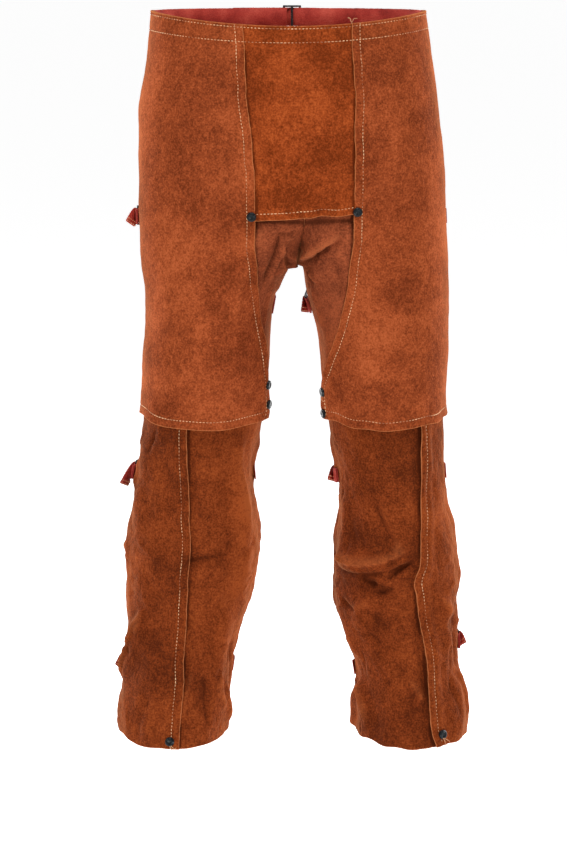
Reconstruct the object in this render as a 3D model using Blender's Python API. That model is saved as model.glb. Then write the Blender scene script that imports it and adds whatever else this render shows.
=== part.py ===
"""Welding chaps in split leather, seatless, hollow and standing as they hang when worn.

The front faces -Y and the origin is the middle of the waist opening. Each leg is one smooth surface,
read by an angle round the leg (0 at the front, positive outwards, in degrees) and by a drop below the
waist in millimetres. Every leather piece is a wall on that surface, moved out by its layer, and all
pieces of a leg share the same grid lines, so the gap between two layers is the same everywhere.
"""

import math
from bisect import bisect_right
from collections import namedtuple

import bmesh
import bpy
from mathutils import Vector
from mathutils.bvhtree import BVHTree

MM = 0.001

# ---------------------------------------------------------------- driving dimensions, in millimetres

LEATHER = 1.6  # thickness of the split leather
WEBBING = 1.4  # thickness of the webbing
GAP = 0.3  # air between two pieces that are sewn together
LAP_GAP = 0.5  # and under a lap, whose two sides bend differently
LAYER = LEATHER + GAP

WAIST_DROP = 0.0
BELT_DROP = 27.0  # lower edge of the belt inside the waist
FLAP_DROP = 259.5  # hem of the fly flap
KNEE_DROP = 539.0  # hem of the thigh panels
HEM_DROP = 978.0

LAP = 11.0  # how far the outer leg panel laps over the inner one
TUCK = 12.0  # how far the flap's side lies under a thigh panel
STEP_DOWN = 9.0  # width of the slope where a lapped piece comes back down
KNEE_FLARE = 1.6  # how far the hem of a thigh panel stands proud

HIP_SQUARENESS = 2.35  # 2 is an ellipse, more is squarer
CROTCH_START = 240.0  # beside the centre seam the leather turns in between the legs from here
LEG_START = 272.0  # and elsewhere from here
LEG_WHOLE = 388.0  # where it goes round one leg
CROTCH_POINT = 337.0  # foot of the centre seam
INNER_BACK = -135.0  # the angle past which the inner side counts as the back

STRAP_WIDTH = 20.0
BELT_WIDTH = 25.0
BELT_SEAM = 2.0  # the belt's lower edge above its lower row of stitches
LEAST_TURN = 0.3  # below this sine, a band's run and outward direction count as parallel
SNAP_RADIUS = 6.4
SNAP_HEIGHT = 2.6
SNAP_GAP = 0.35  # between a snap's flat foot and the highest leather under it

# The centre seam's place, a little off the garment's middle, and on the crotch point's line below it.
Seam = namedtuple("Seam", "drop aside")
CENTRE_SEAM = [Seam(0, 14.0), Seam(262, 16.0), Seam(300, 10.0), Seam(328, 7.0), Seam(990, 7.0)]

# Every piece of a leg is cut along the same grid: lines down the leg, counted from its inner edge to its
# outer one, and rows round it, counted from the waist.
THIGH_LINE = 4  # the thigh panel's inner edge
TUCK_LINE = 5  # how far the thigh panel stands off for the flap's side
FLAP_END = THIGH_LINE + 0.85  # the flap's side edge, between those two
SHIN_LINE = 12  # the shin seam's edge
LAP_LINE = 13
INNER_END = LAP_LINE - 0.15  # the inner leg panel ends just inside the lap
LAST_LINE = 22

FLAP_ROW = 8
LAP_ROW = 17  # the outer leg panel laps over the inner one from this row down
KNEE_ROW = 18
HEM_ROW = 34
STOPS = (
    (0, WAIST_DROP),
    (1, BELT_DROP),
    (FLAP_ROW, FLAP_DROP),
    (KNEE_ROW, KNEE_DROP),
    (HEM_ROW, HEM_DROP),
)

# Outlines of a leg by height: its outer side from the garment's middle, the spread of its inner side
# from the centre seam's line, front and back depth, how far round the leather reaches on the inner and
# outer side, and the two long seams' places.
Section = namedtuple(
    "Section", "drop outer spread front back wrap_in wrap_out thigh_edge shin_edge"
)
LEFT_SECTIONS = [
    Section(0, 187, 0, -112, 112, 90, 104, 64, 116),
    Section(60, 193, 0, -119, 118, 90, 105, 61, 118),
    Section(130, 204, 0, -124, 124, 90, 106, 56, 122),
    Section(200, 204, 0, -125, 128, 90, 107, 49, 126),
    Section(262, 204, 0, -123, 126, 90, 108, 48, 129),
    Section(300, 203, 0, -119, 118, 90, 108, 48, 131),
    Section(328, 201.5, 0, -115, 110, 90, 108, 47, 132),
    Section(338, 201, 11, -114, 107, 91, 108, 47, 132),
    Section(365, 197, 23, -110, 100, 94, 108, 46, 133),
    Section(395, 196, 32, -107, 94, 97, 109, 45, 134),
    Section(430, 196.5, 36, -104, 90, 99, 110, 42, 136),
    Section(500, 199, 41, -98, 82, 101, 111, 39, 138),
    Section(560, 204, 50, -94, 75, 104, 112, 49, 139),
    Section(605, 209, 62, -92, 68, 107, 112, 61, 138.5),
    Section(660, 217, 56, -87, 73, 110, 113, 57, 138),
    Section(705, 223, 53, -84, 81, 112, 114, 55, 137),
    Section(780, 225, 63, -82, 88, 114, 115, 65, 141),
    Section(850, 227, 82, -86, 87, 114, 115, 83, 145),
    Section(900, 232, 90, -94, 84, 113, 114, 91, 148),
    Section(950, 240, 93, -104, 83, 111, 112, 94, 152),
    Section(985, 238, 96, -110, 84, 110, 111, 97, 153.5),
]
RIGHT_SECTIONS = [
    Section(0, 177, 0, -112, 112, 90, 104, 76, 122),
    Section(60, 186, 0, -119, 118, 90, 105, 79, 128),
    Section(130, 195, 0, -124, 124, 90, 106, 82, 136),
    Section(200, 203, 0, -125, 128, 90, 107, 81, 144),
    Section(262, 205, 0, -123, 126, 90, 108, 80, 150),
    Section(300, 207, 0, -119, 118, 90, 108, 79, 154),
    Section(328, 209, 0, -115, 110, 90, 108, 76.5, 157),
    Section(338, 209, 6, -114, 107, 91, 108, 75.5, 157.5),
    Section(365, 209.5, 12, -110, 100, 94, 108, 72, 159),
    Section(395, 209.5, 20, -107, 94, 97, 109, 67, 161),
    Section(430, 208.5, 28.5, -104, 90, 99, 110, 60, 164),
    Section(500, 204, 35, -98, 82, 101, 111, 47, 168),
    Section(560, 206, 45, -94, 75, 104, 112, 58, 170.5),
    Section(605, 208, 55, -92, 68, 107, 112, 68, 171.5),
    Section(660, 213, 58, -87, 73, 110, 113, 72, 172),
    Section(705, 221, 55, -84, 81, 112, 114, 70, 172.5),
    Section(780, 228, 53, -82, 88, 114, 115, 69, 168),
    Section(850, 228, 69, -86, 87, 114, 115, 84, 179),
    Section(900, 233, 84, -94, 84, 113, 114, 99, 183),
    Section(950, 243, 84, -104, 83, 111, 112, 99, 187),
    Section(985, 241, 80, -110, 84, 110, 111, 95, 196),
]

# Edges that run round a leg: how far each dips at the front, and how much it slants across.
Edge = namedtuple("Edge", "drop dip slant")
EDGES = [
    Edge(WAIST_DROP, 17, 0.0),
    Edge(120, 5, -0.03),
    Edge(FLAP_DROP, 0, -0.06),
    Edge(330, 0, -0.02),
    Edge(450, 9, 0.0),
    Edge(KNEE_DROP, 11, 0.0),
    Edge(700, 5, 0.0),
    Edge(HEM_DROP, 6, 0.0),
]

# The largest folds, each a soft ridge (or trough, where the height is negative) from one end to the
# other. Ends are given by angle and drop.
Fold = namedtuple("Fold", "angle_a drop_a angle_b drop_b width height")
LEFT_FOLDS = [
    Fold(-46, 286, -40, 352, 12, -5),
    Fold(-84, 322, -80, 372, 12, 4),
    Fold(-60, 400, -62, 545, 15, 4),
    Fold(-58, 560, -54, 800, 17, 5),
    Fold(-34, 600, -36, 770, 15, -3.5),
    Fold(-46, 790, -40, 985, 18, 5),
    Fold(40, 800, 82, 915, 15, 6),
    Fold(60, 560, 66, 700, 20, 4),
    Fold(-100, 650, -102, 845, 16, 5),
    Fold(98, 655, 100, 840, 18, 5),
    Fold(20, 860, 16, 985, 20, 3),
    Fold(108, 895, 112, 1110, 12, 5),
]
RIGHT_FOLDS = [
    Fold(-80, 322, -26, 281, 12, 5),
    Fold(-78, 338, -40, 306, 10, -4),
    Fold(-54, 395, -64, 530, 15, 4),
    Fold(-84, 730, 16, 738, 19, 6),
    Fold(-84, 764, 20, 768, 14, -6),
    Fold(-60, 640, -66, 735, 15, 4),
    Fold(48, 780, 56, 870, 12, 5),
    Fold(70, 800, 74, 900, 12, -4),
    Fold(-70, 890, -58, 985, 16, 6),
    Fold(62, 890, 50, 985, 15, 5),
    Fold(-100, 650, -102, 845, 16, 5),
    Fold(98, 655, 100, 800, 18, 5),
    Fold(-20, 850, -18, 985, 20, 3),
    Fold(-106, 890, -112, 1110, 14, 13),
]
FOLD_RADIUS = 85.0  # turns an angle into millimetres round the leg

# Webbing across the open back of each leg. The sewn end and the slide's end are each an angle and a
# drop, and the free tail turns out and down beyond the slide.
Strap = namedtuple(
    "Strap", "name leg slide_outside drop_inner drop_outer tail_length tail_out tail_down"
)
STRAPS = [
    Strap("thigh_left", "left", True, 388, 268, 24, 7, 4),
    Strap("knee_left", "left", True, 617, 616, 34, 15, 24),
    Strap("calf_left", "left", True, 888, 886, 24, 1, 14),
    Strap("thigh_right", "right", False, 388, 268, 22, 9, 2),
    Strap("knee_right", "right", False, 620, 616, 26, 6, 10),
    Strap("calf_right", "right", True, 893, 856, 24, 1, 14),
]
SLIDE_BAR = 3.0  # width of each of a slide's three bars
SLIDE_SLOT = 8.0
SLIDE_RIM = 2.5
SLIDE_THICK = 2.0
SLIDE_PLAY = 0.8  # beside the webbing, each side
HALF_SLIDE = 1.5 * SLIDE_BAR + SLIDE_SLOT
SLIDE_LIFT = 3.0  # a slide's middle above the leather that it lies on
SLIDE_OVERHANG = 3.0  # how far a slide reaches past the leather's edge
SEWN_END = 24.0  # length of a strap's end that is sewn to the leather
TAB_END = 17.0  # and of a tab's two ends, sewn on each other
OFF_LEATHER = 14.0  # degrees over which a strap leaves the leather's edge
OFF_BODY = 40.0  # degrees over which it leaves the leather's own surface for the leg's oval
THREAD_ROOM = 0.6  # between a bar of a slide and the webbing that turns round it

Snap = namedtuple("Snap", "name leg angle drop sits_on")
SNAPS = [
    Snap("snap_flap_left", "left", -21.7, 257, "thigh_panel_left"),
    Snap("snap_flap_right", "right", -15.5, 251, "thigh_panel_right"),
    Snap("snap_knee_upper_left", "left", -64.5, 490, "thigh_panel_left"),
    Snap("snap_knee_lower_left", "left", -68.0, 517, "thigh_panel_left"),
    Snap("snap_knee_upper_right", "right", -65.5, 500, "thigh_panel_right"),
    Snap("snap_knee_lower_right", "right", -67.0, 529, "thigh_panel_right"),
    Snap("snap_hem_left", "left", 1.5, 970, "leg_outer_left"),
    Snap("snap_hem_right", "right", 28.5, 963, "leg_outer_right"),
]

Finish = namedtuple("Finish", "colour roughness metallic")
FINISHES = {
    "suede_upper": Finish((0.36, 0.085, 0.022), 0.95, 0.0),
    "suede_lower": Finish((0.22, 0.045, 0.013), 0.95, 0.0),
    "webbing": Finish((0.40, 0.055, 0.035), 0.85, 0.0),
    "slide_steel": Finish((0.05, 0.05, 0.055), 0.35, 0.9),
    "snap_black": Finish((0.018, 0.02, 0.022), 0.35, 0.8),
}


# ---------------------------------------------------------------- small helpers


def soft_step(low, high, value):
    """0 below low, 1 above high, smooth between. It falls instead where high is below low."""
    share = min(max((value - low) / (high - low), 0.0), 1.0)
    return share * share * (3 - 2 * share)


def mix(first, second, share):
    return first + (second - first) * share


class Curve:
    """A smooth curve through (place, value) pairs whose places rise."""

    def __init__(self, pairs):
        self.places = [float(place) for place, _ in pairs]
        self.values = [float(value) for _, value in pairs]
        last = len(pairs) - 1
        self.slopes = []
        for i in range(len(pairs)):
            low, high = max(i - 1, 0), min(i + 1, last)
            before = self.values[i] - self.values[low]
            after = self.values[high] - self.values[i]
            turns = low < i < high and before * after <= 0
            span = self.places[high] - self.places[low]
            self.slopes.append(0.0 if turns else (before + after) / span)

    def __call__(self, place):
        place = min(max(place, self.places[0]), self.places[-1])
        i = min(bisect_right(self.places, place), len(self.places) - 1) - 1
        span = self.places[i + 1] - self.places[i]
        t = (place - self.places[i]) / span
        keep = (1 + 2 * t) * (1 - t) ** 2
        lead = t * (1 - t) ** 2 * span * self.slopes[i]
        follow = t * t * (t - 1) * span * self.slopes[i + 1]
        return keep * self.values[i] + lead + (1 - keep) * self.values[i + 1] + follow


def column(rows, name):
    """One named column of a table, as a curve over the drop."""
    return Curve([(row.drop, getattr(row, name)) for row in rows])


# ---------------------------------------------------------------- the surface that a leg's leather follows


class Leg:
    """One side of the garment. Inside this class x grows outwards from the garment's middle."""

    def __init__(self, side, sections, folds):
        self.name = side
        self.sign = -1 if side == "left" else 1
        self.folds = folds
        self.outline = {name: column(sections, name) for name in Section._fields[1:]}
        self.centre = column(CENTRE_SEAM, "aside")
        self.dip = column(EDGES, "dip")
        self.slant = column(EDGES, "slant")

    def mirrored(self, vector):
        """From this class's outward x to the garment's own x, or back."""
        return Vector((self.sign * vector.x, vector.y, vector.z))

    def ellipse(self, drop):
        """Middle and half-size of the leg's section, sideways and in depth."""
        outer = self.outline["outer"](drop)
        inner = self.sign * self.centre(drop) + self.outline["spread"](drop)
        front, back = self.outline["front"](drop), self.outline["back"](drop)
        return (outer + inner) / 2, (outer - inner) / 2, (front + back) / 2, (back - front) / 2

    def legness(self, angle, drop):
        """0 where the leather hangs from the hips, 1 where it goes round one leg."""
        beside_seam = soft_step(-52, -84, angle) if angle > INNER_BACK else 0.0
        return soft_step(mix(LEG_START, CROTCH_START, beside_seam), LEG_WHOLE, drop)

    def bare_point(self, angle, drop):
        """The surface without its folds."""
        x, leg_y, _ = self.leg_point(angle, drop)
        facing = "front" if INNER_BACK < angle <= 90 else "back"
        hip_y = self.hip_depth(facing, x, drop)
        return Vector((x, mix(hip_y, leg_y, self.legness(angle, drop)), -drop))

    def hip_depth(self, facing, x, drop):
        """How far the hips reach to the front or to the back at this place across."""
        reach = min(abs(x) / self.outline["outer"](drop), 1.0) ** HIP_SQUARENESS
        return self.outline[facing](drop) * (1 - reach) ** (1 / HIP_SQUARENESS)

    def leg_point(self, angle, drop):
        """The plain oval of the leg at any height, which a strap behind it follows."""
        mid_x, half_x, mid_y, half_y = self.ellipse(drop)
        turn = math.radians(angle)
        return Vector((mid_x + half_x * math.sin(turn), mid_y - half_y * math.cos(turn), -drop))

    def hip_point(self, angle, drop):
        """The same surface as if it went straight on down from the hips, as the flap does."""
        x = self.leg_point(angle, drop).x
        return Vector((x, self.hip_depth("front", x, drop), -drop))

    def normal(self, angle, drop, surface=None):
        """The outward direction of the surface, from its slopes each way."""
        surface = surface or self.bare_point
        across = surface(angle + 1.5, drop) - surface(angle - 1.5, drop)
        down = surface(angle, drop + 4) - surface(angle, drop - 4)
        return down.cross(across).normalized()

    def fold_height(self, angle, drop):
        """How far the folds push the leather out here."""
        here = Vector((math.radians(angle) * FOLD_RADIUS, drop))
        height = 0.0
        for fold in self.folds:
            start = Vector((math.radians(fold.angle_a) * FOLD_RADIUS, fold.drop_a))
            run = Vector((math.radians(fold.angle_b) * FOLD_RADIUS, fold.drop_b)) - start
            along = (here - start).dot(run) / run.length_squared
            if 0 < along < 1:
                aside = ((here - start) - run * along).length / fold.width
                ends = soft_step(0, 0.25, along) * soft_step(1, 0.75, along)
                height += fold.height * ends * math.exp(-aside * aside)
        if drop < CROTCH_POINT:
            height *= soft_step(-88, -72, angle)
        return height

    def place(self, angle, drop, out, surface=None):
        """A point of a piece in metres: on the surface, moved out by its layer and its folds."""
        surface = surface or self.bare_point
        away = self.normal(angle, drop, surface)
        if surface == self.bare_point:
            out += self.fold_height(angle, drop)
        return self.mirrored((surface(angle, drop) + away * out) * MM)

    def reach(self, angle, drop, half_width):
        """How far the leather's straight-sided grid stands above the smooth surface under a band."""
        base = self.bare_point(angle, drop)
        away = self.normal(angle, drop)
        drops = [self.row_drop(row, angle) for row in ROWS]
        heights = []
        for edge in (drop - half_width, drop, drop + half_width):
            i = min(max(bisect_right(drops, edge), 1), len(drops) - 1)
            share = (edge - drops[i - 1]) / (drops[i] - drops[i - 1])
            ends = [self.place(angle, drops[k], 0.0) / MM for k in (i - 1, i)]
            point = self.mirrored(ends[0].lerp(ends[1], share))
            heights.append((point - base).dot(away))
        return max(heights)

    def angle_at(self, x, drop):
        """The angle on the front of the leg that lies this far from the garment's middle."""
        mid_x, half_x, _, _ = self.ellipse(drop)
        return math.degrees(math.asin(min(max((x - mid_x) / half_x, -1.0), 1.0)))

    def row_drop(self, row, angle):
        """The drop of a grid row at this angle, with the row's dip and slant."""
        x = self.leg_point(angle, row).x
        hip_share = 1 - (x / self.outline["outer"](row)) ** 2
        leg_share = max(math.cos(math.radians(angle)), 0.0) ** 2
        share = mix(hip_share, leg_share, soft_step(LEG_START, LEG_WHOLE, row))
        return row + self.dip(row) * (share - 0.5) + self.slant(row) * self.sign * x

    def lines(self, row):
        """The angle of every grid line at a row, from the inner edge to the outer one."""
        thigh = self.angle_at(self.outline["thigh_edge"](row), row)
        shin = self.angle_at(self.outline["shin_edge"](row), row)
        half_x = self.ellipse(row)[1]
        degrees = math.degrees(1 / half_x)
        seam_half_gap = math.degrees(math.sqrt(GAP / half_x)) if row < CROTCH_POINT else 0.0
        marks = [
            (-self.outline["wrap_in"](row) + seam_half_gap, 0),
            (thigh, THIGH_LINE),
            (thigh + TUCK * degrees, TUCK_LINE),
            (thigh + (TUCK + STEP_DOWN) * degrees, TUCK_LINE + 1),
            (shin, SHIN_LINE),
            (shin + LAP * degrees, LAP_LINE),
            (shin + (LAP + STEP_DOWN) * degrees, LAP_LINE + 1),
            (self.outline["wrap_out"](row), LAST_LINE),
        ]
        angles = []
        for (start, first), (end, last) in zip(marks, marks[1:]):
            angles += [mix(start, end, (i - first) / (last - first)) for i in range(first, last)]
        return angles + [marks[-1][0]]


def grid_rows():
    """The drop of every grid row at a level edge."""
    rows = []
    for (first, start), (last, end) in zip(STOPS, STOPS[1:]):
        rows += [mix(start, end, (i - first) / (last - first)) for i in range(first, last)]
    return rows + [HEM_DROP]


ROWS = grid_rows()


# ---------------------------------------------------------------- meshes


def clear_scene():
    for item in list(bpy.data.objects):
        bpy.data.objects.remove(item, do_unlink=True)


def material(name):
    found = bpy.data.materials.get(name)
    if found:
        return found
    finish = FINISHES[name]
    made = bpy.data.materials.new(name)
    made.use_nodes = True
    shader = made.node_tree.nodes["Principled BSDF"]
    shader.inputs["Base Color"].default_value = (*finish.colour, 1.0)
    shader.inputs["Roughness"].default_value = finish.roughness
    shader.inputs["Metallic"].default_value = finish.metallic
    return made


def add_object(name, points, faces, finish):
    """A closed mesh object with its faces turned outwards."""
    mesh = bpy.data.meshes.new(name)
    build = bmesh.new()
    corners = [build.verts.new(point) for point in points]
    for face in faces:
        build.faces.new([corners[i] for i in face])
    bmesh.ops.recalc_face_normals(build, faces=build.faces[:])
    build.to_mesh(mesh)
    build.free()
    mesh.shade_smooth()
    mesh.set_sharp_from_angle(angle=math.radians(40))
    mesh.materials.append(material(finish))
    item = bpy.data.objects.new(name, mesh)
    bpy.context.scene.collection.objects.link(item)
    return item


def add_wall(name, outer, inner, finish):
    """A closed wall between two sheets, each a list of rows of points.

    Every four-sided field is split along the same diagonal, so that layers on one grid stay parallel.
    """
    rows, lines = len(outer), len(outer[0])
    size = rows * lines
    points = [point for sheet in (outer, inner) for row in sheet for point in row]
    faces = []
    for r in range(rows - 1):
        for c in range(lines - 1):
            a, b = r * lines + c, (r + 1) * lines + c
            for face in ([a, b, b + 1], [a, b + 1, a + 1]):
                faces.append(face)
                faces.append([size + i for i in reversed(face)])
    rim = list(range(lines))
    rim += [r * lines + lines - 1 for r in range(1, rows)]
    rim += [(rows - 1) * lines + c for c in range(lines - 2, -1, -1)]
    rim += [r * lines for r in range(rows - 2, 0, -1)]
    for here, there in zip(rim, rim[1:] + rim[:1]):
        faces.append([here, there, size + there, size + here])
    return add_object(name, points, faces, finish)


def leather(name, leg, row_range, line_range, lift, finish):
    """A leather piece of one leg. lift(row, line, drop) is its inner face above the surface."""
    sheets = ([], [])
    for r in range(row_range[0], row_range[1] + 1):
        angles = leg.lines(ROWS[r])
        for sheet, thickness in zip(sheets, (LEATHER, 0.0)):
            points = []
            for line in line_range:
                angle = angle_on(angles, line)
                drop = leg.row_drop(ROWS[r], angle)
                points.append(leg.place(angle, drop, lift(r, line, drop) + thickness))
            sheet.append(points)
    return add_wall(name, sheets[0], sheets[1], finish)


def angle_on(angles, line):
    """The angle of a grid line, which may lie between two."""
    whole = min(int(line), len(angles) - 2)
    return mix(angles[whole], angles[whole + 1], line - whole)


# ---------------------------------------------------------------- leather pieces


def inner_leg_panel(leg):
    def lift(r, line, drop):
        return -LEATHER

    lines = [*range(LAP_LINE), INNER_END]
    leather(f"leg_inner_{leg.name}", leg, (0, HEM_ROW), lines, lift, "suede_lower")


def outer_leg_panel(leg):
    """It meets the inner panel edge to edge above the knee, rises, and lies on it below."""
    sheets = ([], [])
    for r, row in enumerate(ROWS):
        angles = leg.lines(row)
        butt = angle_on(angles, INNER_END) + math.degrees(GAP / leg.ellipse(row)[1])
        edge = [butt, mix(butt, angles[LAP_LINE + 1], 0.4)]
        if r >= LAP_ROW:
            edge = [angles[SHIN_LINE], angles[LAP_LINE]]
        edge_lift = LAP_GAP if r >= LAP_ROW - 1 else -LEATHER
        for sheet, thickness in zip(sheets, (LEATHER, 0.0)):
            points = []
            for i, angle in enumerate(edge + angles[LAP_LINE + 1 :]):
                lift = edge_lift if i < len(edge) else -LEATHER
                points.append(leg.place(angle, leg.row_drop(row, angle), lift + thickness))
            sheet.append(points)
    add_wall(f"leg_outer_{leg.name}", sheets[0], sheets[1], "suede_lower")


def thigh_lift(drop, over_flap):
    """Inner face of a thigh panel above the surface: over the flap's side, the laps and its own flare."""
    over_lap = (LEATHER + LAP_GAP) * soft_step(400, 462, drop)
    under_it = max(LAYER if over_flap else 0.0, over_lap)
    return GAP + under_it + KNEE_FLARE * soft_step(505, 545, drop)


def thigh_panel(leg):
    def lift(r, line, drop):
        return thigh_lift(drop, r <= FLAP_ROW and line <= TUCK_LINE)

    lines = range(THIGH_LINE, LAST_LINE + 1)
    leather(f"thigh_panel_{leg.name}", leg, (0, KNEE_ROW), lines, lift, "suede_upper")


def fly_flap(left, right):
    """The apron over the fly, across both legs, hanging straight from the hips."""
    sheets = ([], [])
    lines = [*range(THIGH_LINE + 1), FLAP_END]
    columns = [(left, line) for line in reversed(lines)] + [(right, line) for line in lines[1:]]
    for r in range(FLAP_ROW + 1):
        for sheet, out in zip(sheets, (LAYER, GAP)):
            points = []
            for leg, line in columns:
                angle = angle_on(leg.lines(ROWS[r]), line)
                drop = leg.row_drop(ROWS[r], angle)
                points.append(leg.place(angle, drop, out, leg.hip_point))
            sheet.append(points)
    add_wall("fly_flap", sheets[0], sheets[1], "suede_upper")


# ---------------------------------------------------------------- webbing


def add_ribbon(name, path, width, upright):
    """A flat band along stations of (point, outward direction), in metres.

    Its width stays on the side of the upright direction, so that it may turn back round a bar.
    """
    outer, inner = [], []
    last = len(path) - 1
    for i, (point, away) in enumerate(path):
        run = (path[min(i + 1, last)][0] - path[max(i - 1, 0)][0]).normalized()
        across = run.cross(away)
        if across.length < LEAST_TURN:
            across = upright.copy()
        across = (across * math.copysign(1.0, across.dot(upright))).normalized()
        lift = across.cross(run).normalized() * (WEBBING / 2 * MM)
        across = across * (width / 2 * MM)
        outer.append([point + lift - across, point + lift + across])
        inner.append([point - lift - across, point - lift + across])
    return add_wall(name, outer, inner, "webbing")


def add_slide(name, middle, along, away, band):
    """A three-bar slide lying flat: along runs with the webbing, away points off the leather."""
    across = away.cross(along)
    far, near = HALF_SLIDE, SLIDE_BAR / 2
    marks = (-far, -far + SLIDE_BAR, -near, near, far - SLIDE_BAR, far)
    inside = band / 2 + SLIDE_PLAY
    sides = (-inside - SLIDE_RIM, -inside, inside, inside + SLIDE_RIM)
    points = []
    for level in (SLIDE_THICK / 2, -SLIDE_THICK / 2):
        for side in sides:
            for mark in marks:
                points.append(middle + (along * mark + across * side + away * level) * MM)
    width, size = len(marks), len(marks) * len(sides)
    faces = []
    open_cells = {(1, 1), (3, 1)}
    cells = {(c, r) for c in range(width - 1) for r in range(len(sides) - 1)} - open_cells
    for c, r in sorted(cells):
        ring = [r * width + c, r * width + c + 1, (r + 1) * width + c + 1, (r + 1) * width + c]
        faces.append(ring)
        faces.append([size + i for i in reversed(ring)])
        neighbours = ((c, r - 1), (c + 1, r), (c, r + 1), (c - 1, r))
        for i, cell in enumerate(neighbours):
            if cell not in cells:
                a, b = ring[i], ring[(i + 1) % 4]
                faces.append([a, b, size + b, size + a])
    return add_object(name, points, faces, "slide_steel")


def strap_and_slide(strap, leg):
    """Webbing sewn to one edge, across the open back to a slide on the other, with its tab."""
    inner_edge = 360 - leg.outline["wrap_in"](strap.drop_inner)
    outer_edge = leg.outline["wrap_out"](strap.drop_outer)
    radius = leg.ellipse(strap.drop_inner)[3]
    degrees = math.degrees(1 / radius)
    if strap.slide_outside:
        slide_angle = outer_edge - (HALF_SLIDE - SLIDE_OVERHANG) * degrees
        sewn_angle = inner_edge + SEWN_END * degrees
        ahead = 1
    else:
        slide_angle = inner_edge + (HALF_SLIDE - SLIDE_OVERHANG) * degrees
        sewn_angle = outer_edge - SEWN_END * degrees
        ahead = -1

    def on_thigh_panel(angle):
        """The leather's own thickness here, where a thigh panel reaches the outer edge."""
        covered = strap.drop_outer < KNEE_DROP and angle < 180
        return LAYER + 0.2 if covered else 0.0

    def surface(angle, drop):
        """The leather's own surface near its outer edge, and the leg's oval behind."""
        behind = soft_step(outer_edge, outer_edge + OFF_BODY, angle % 360)
        return leg.bare_point(angle, drop).lerp(leg.leg_point(angle, drop), behind)

    def station(angle, out, down=0.0):
        share = (angle - outer_edge) / (inner_edge - outer_edge)
        drop = mix(strap.drop_outer, strap.drop_inner, soft_step(-0.1, 1.1, share)) + down
        turned = angle - 360 if angle > 180 else angle
        on_leather = soft_step(outer_edge + OFF_LEATHER, outer_edge, angle)
        on_leather += soft_step(inner_edge - OFF_LEATHER, inner_edge, angle)
        out += (on_thigh_panel(angle) + leg.reach(turned, drop, STRAP_WIDTH / 2)) * on_leather
        away = leg.normal(turned, drop, surface)
        point = (surface(turned, drop) + away * out) * MM
        return leg.mirrored(point), leg.mirrored(away)

    low = LAP_GAP + WEBBING / 2
    under = -SLIDE_THICK / 2 - GAP - WEBBING / 2
    over = -under
    top = over + WEBBING + GAP
    middle, away = station(slide_angle, SLIDE_LIFT)
    along = station(slide_angle + ahead, 0)[0] - station(slide_angle - ahead, 0)[0]
    along = (along - away * along.dot(away)).normalized()

    def round_leg(mm, out, down=0.0):
        """A station on the leg's surface, mm from the slide's middle towards the open back."""
        return station(slide_angle + ahead * mm * degrees, out, down)

    def at_slide(mm, out):
        """A station on the slide's own flat plate, out from its middle."""
        return middle + (along * mm + away * out) * MM, away

    far = abs(sewn_angle - slide_angle) / degrees
    steps = 9
    near = HALF_SLIDE + 6
    path = [round_leg(far - mm, low) for mm in (0, SEWN_END / 2, SEWN_END)]
    path += [
        round_leg(mix(far - SEWN_END - 6, near, i / steps), low + 0.5) for i in range(1, steps)
    ]
    path += [at_slide(HALF_SLIDE + 1, under), at_slide(HALF_SLIDE - SLIDE_BAR - THREAD_ROOM, under)]
    path += [at_slide(SLIDE_BAR / 2 + THREAD_ROOM, over), at_slide(-SLIDE_BAR / 2, over + GAP)]
    path += [at_slide(-HALF_SLIDE + SLIDE_BAR + 3.4, top), at_slide(-HALF_SLIDE - 1, top)]
    for i in range(1, 4):
        share = i / 3
        out = SLIDE_LIFT + top + strap.tail_out * share**1.4
        path.append(
            round_leg(-HALF_SLIDE - 3 - strap.tail_length * share, out, strap.tail_down * share)
        )
    add_ribbon(f"strap_{strap.name}", path, STRAP_WIDTH, along.cross(away))

    bar = -HALF_SLIDE + SLIDE_BAR
    path = [round_leg(-HALF_SLIDE - mm, low) for mm in (TAB_END, TAB_END / 2 + 0.5)]
    path += [at_slide(-HALF_SLIDE, under), at_slide(bar, under)]
    for i in range(1, 4):
        lean = math.pi * i / 4
        path.append(at_slide(bar + over * math.sin(lean), -over * math.cos(lean)))
    path += [at_slide(bar, over), at_slide(-HALF_SLIDE, over)]
    path += [
        round_leg(-HALF_SLIDE - mm, low + WEBBING + GAP) for mm in (TAB_END / 2 + 0.5, TAB_END)
    ]
    add_ribbon(f"tab_{strap.name}", path, STRAP_WIDTH - 1, along.cross(away))
    add_slide(f"slide_{strap.name}", middle, along, away, STRAP_WIDTH)


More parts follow.
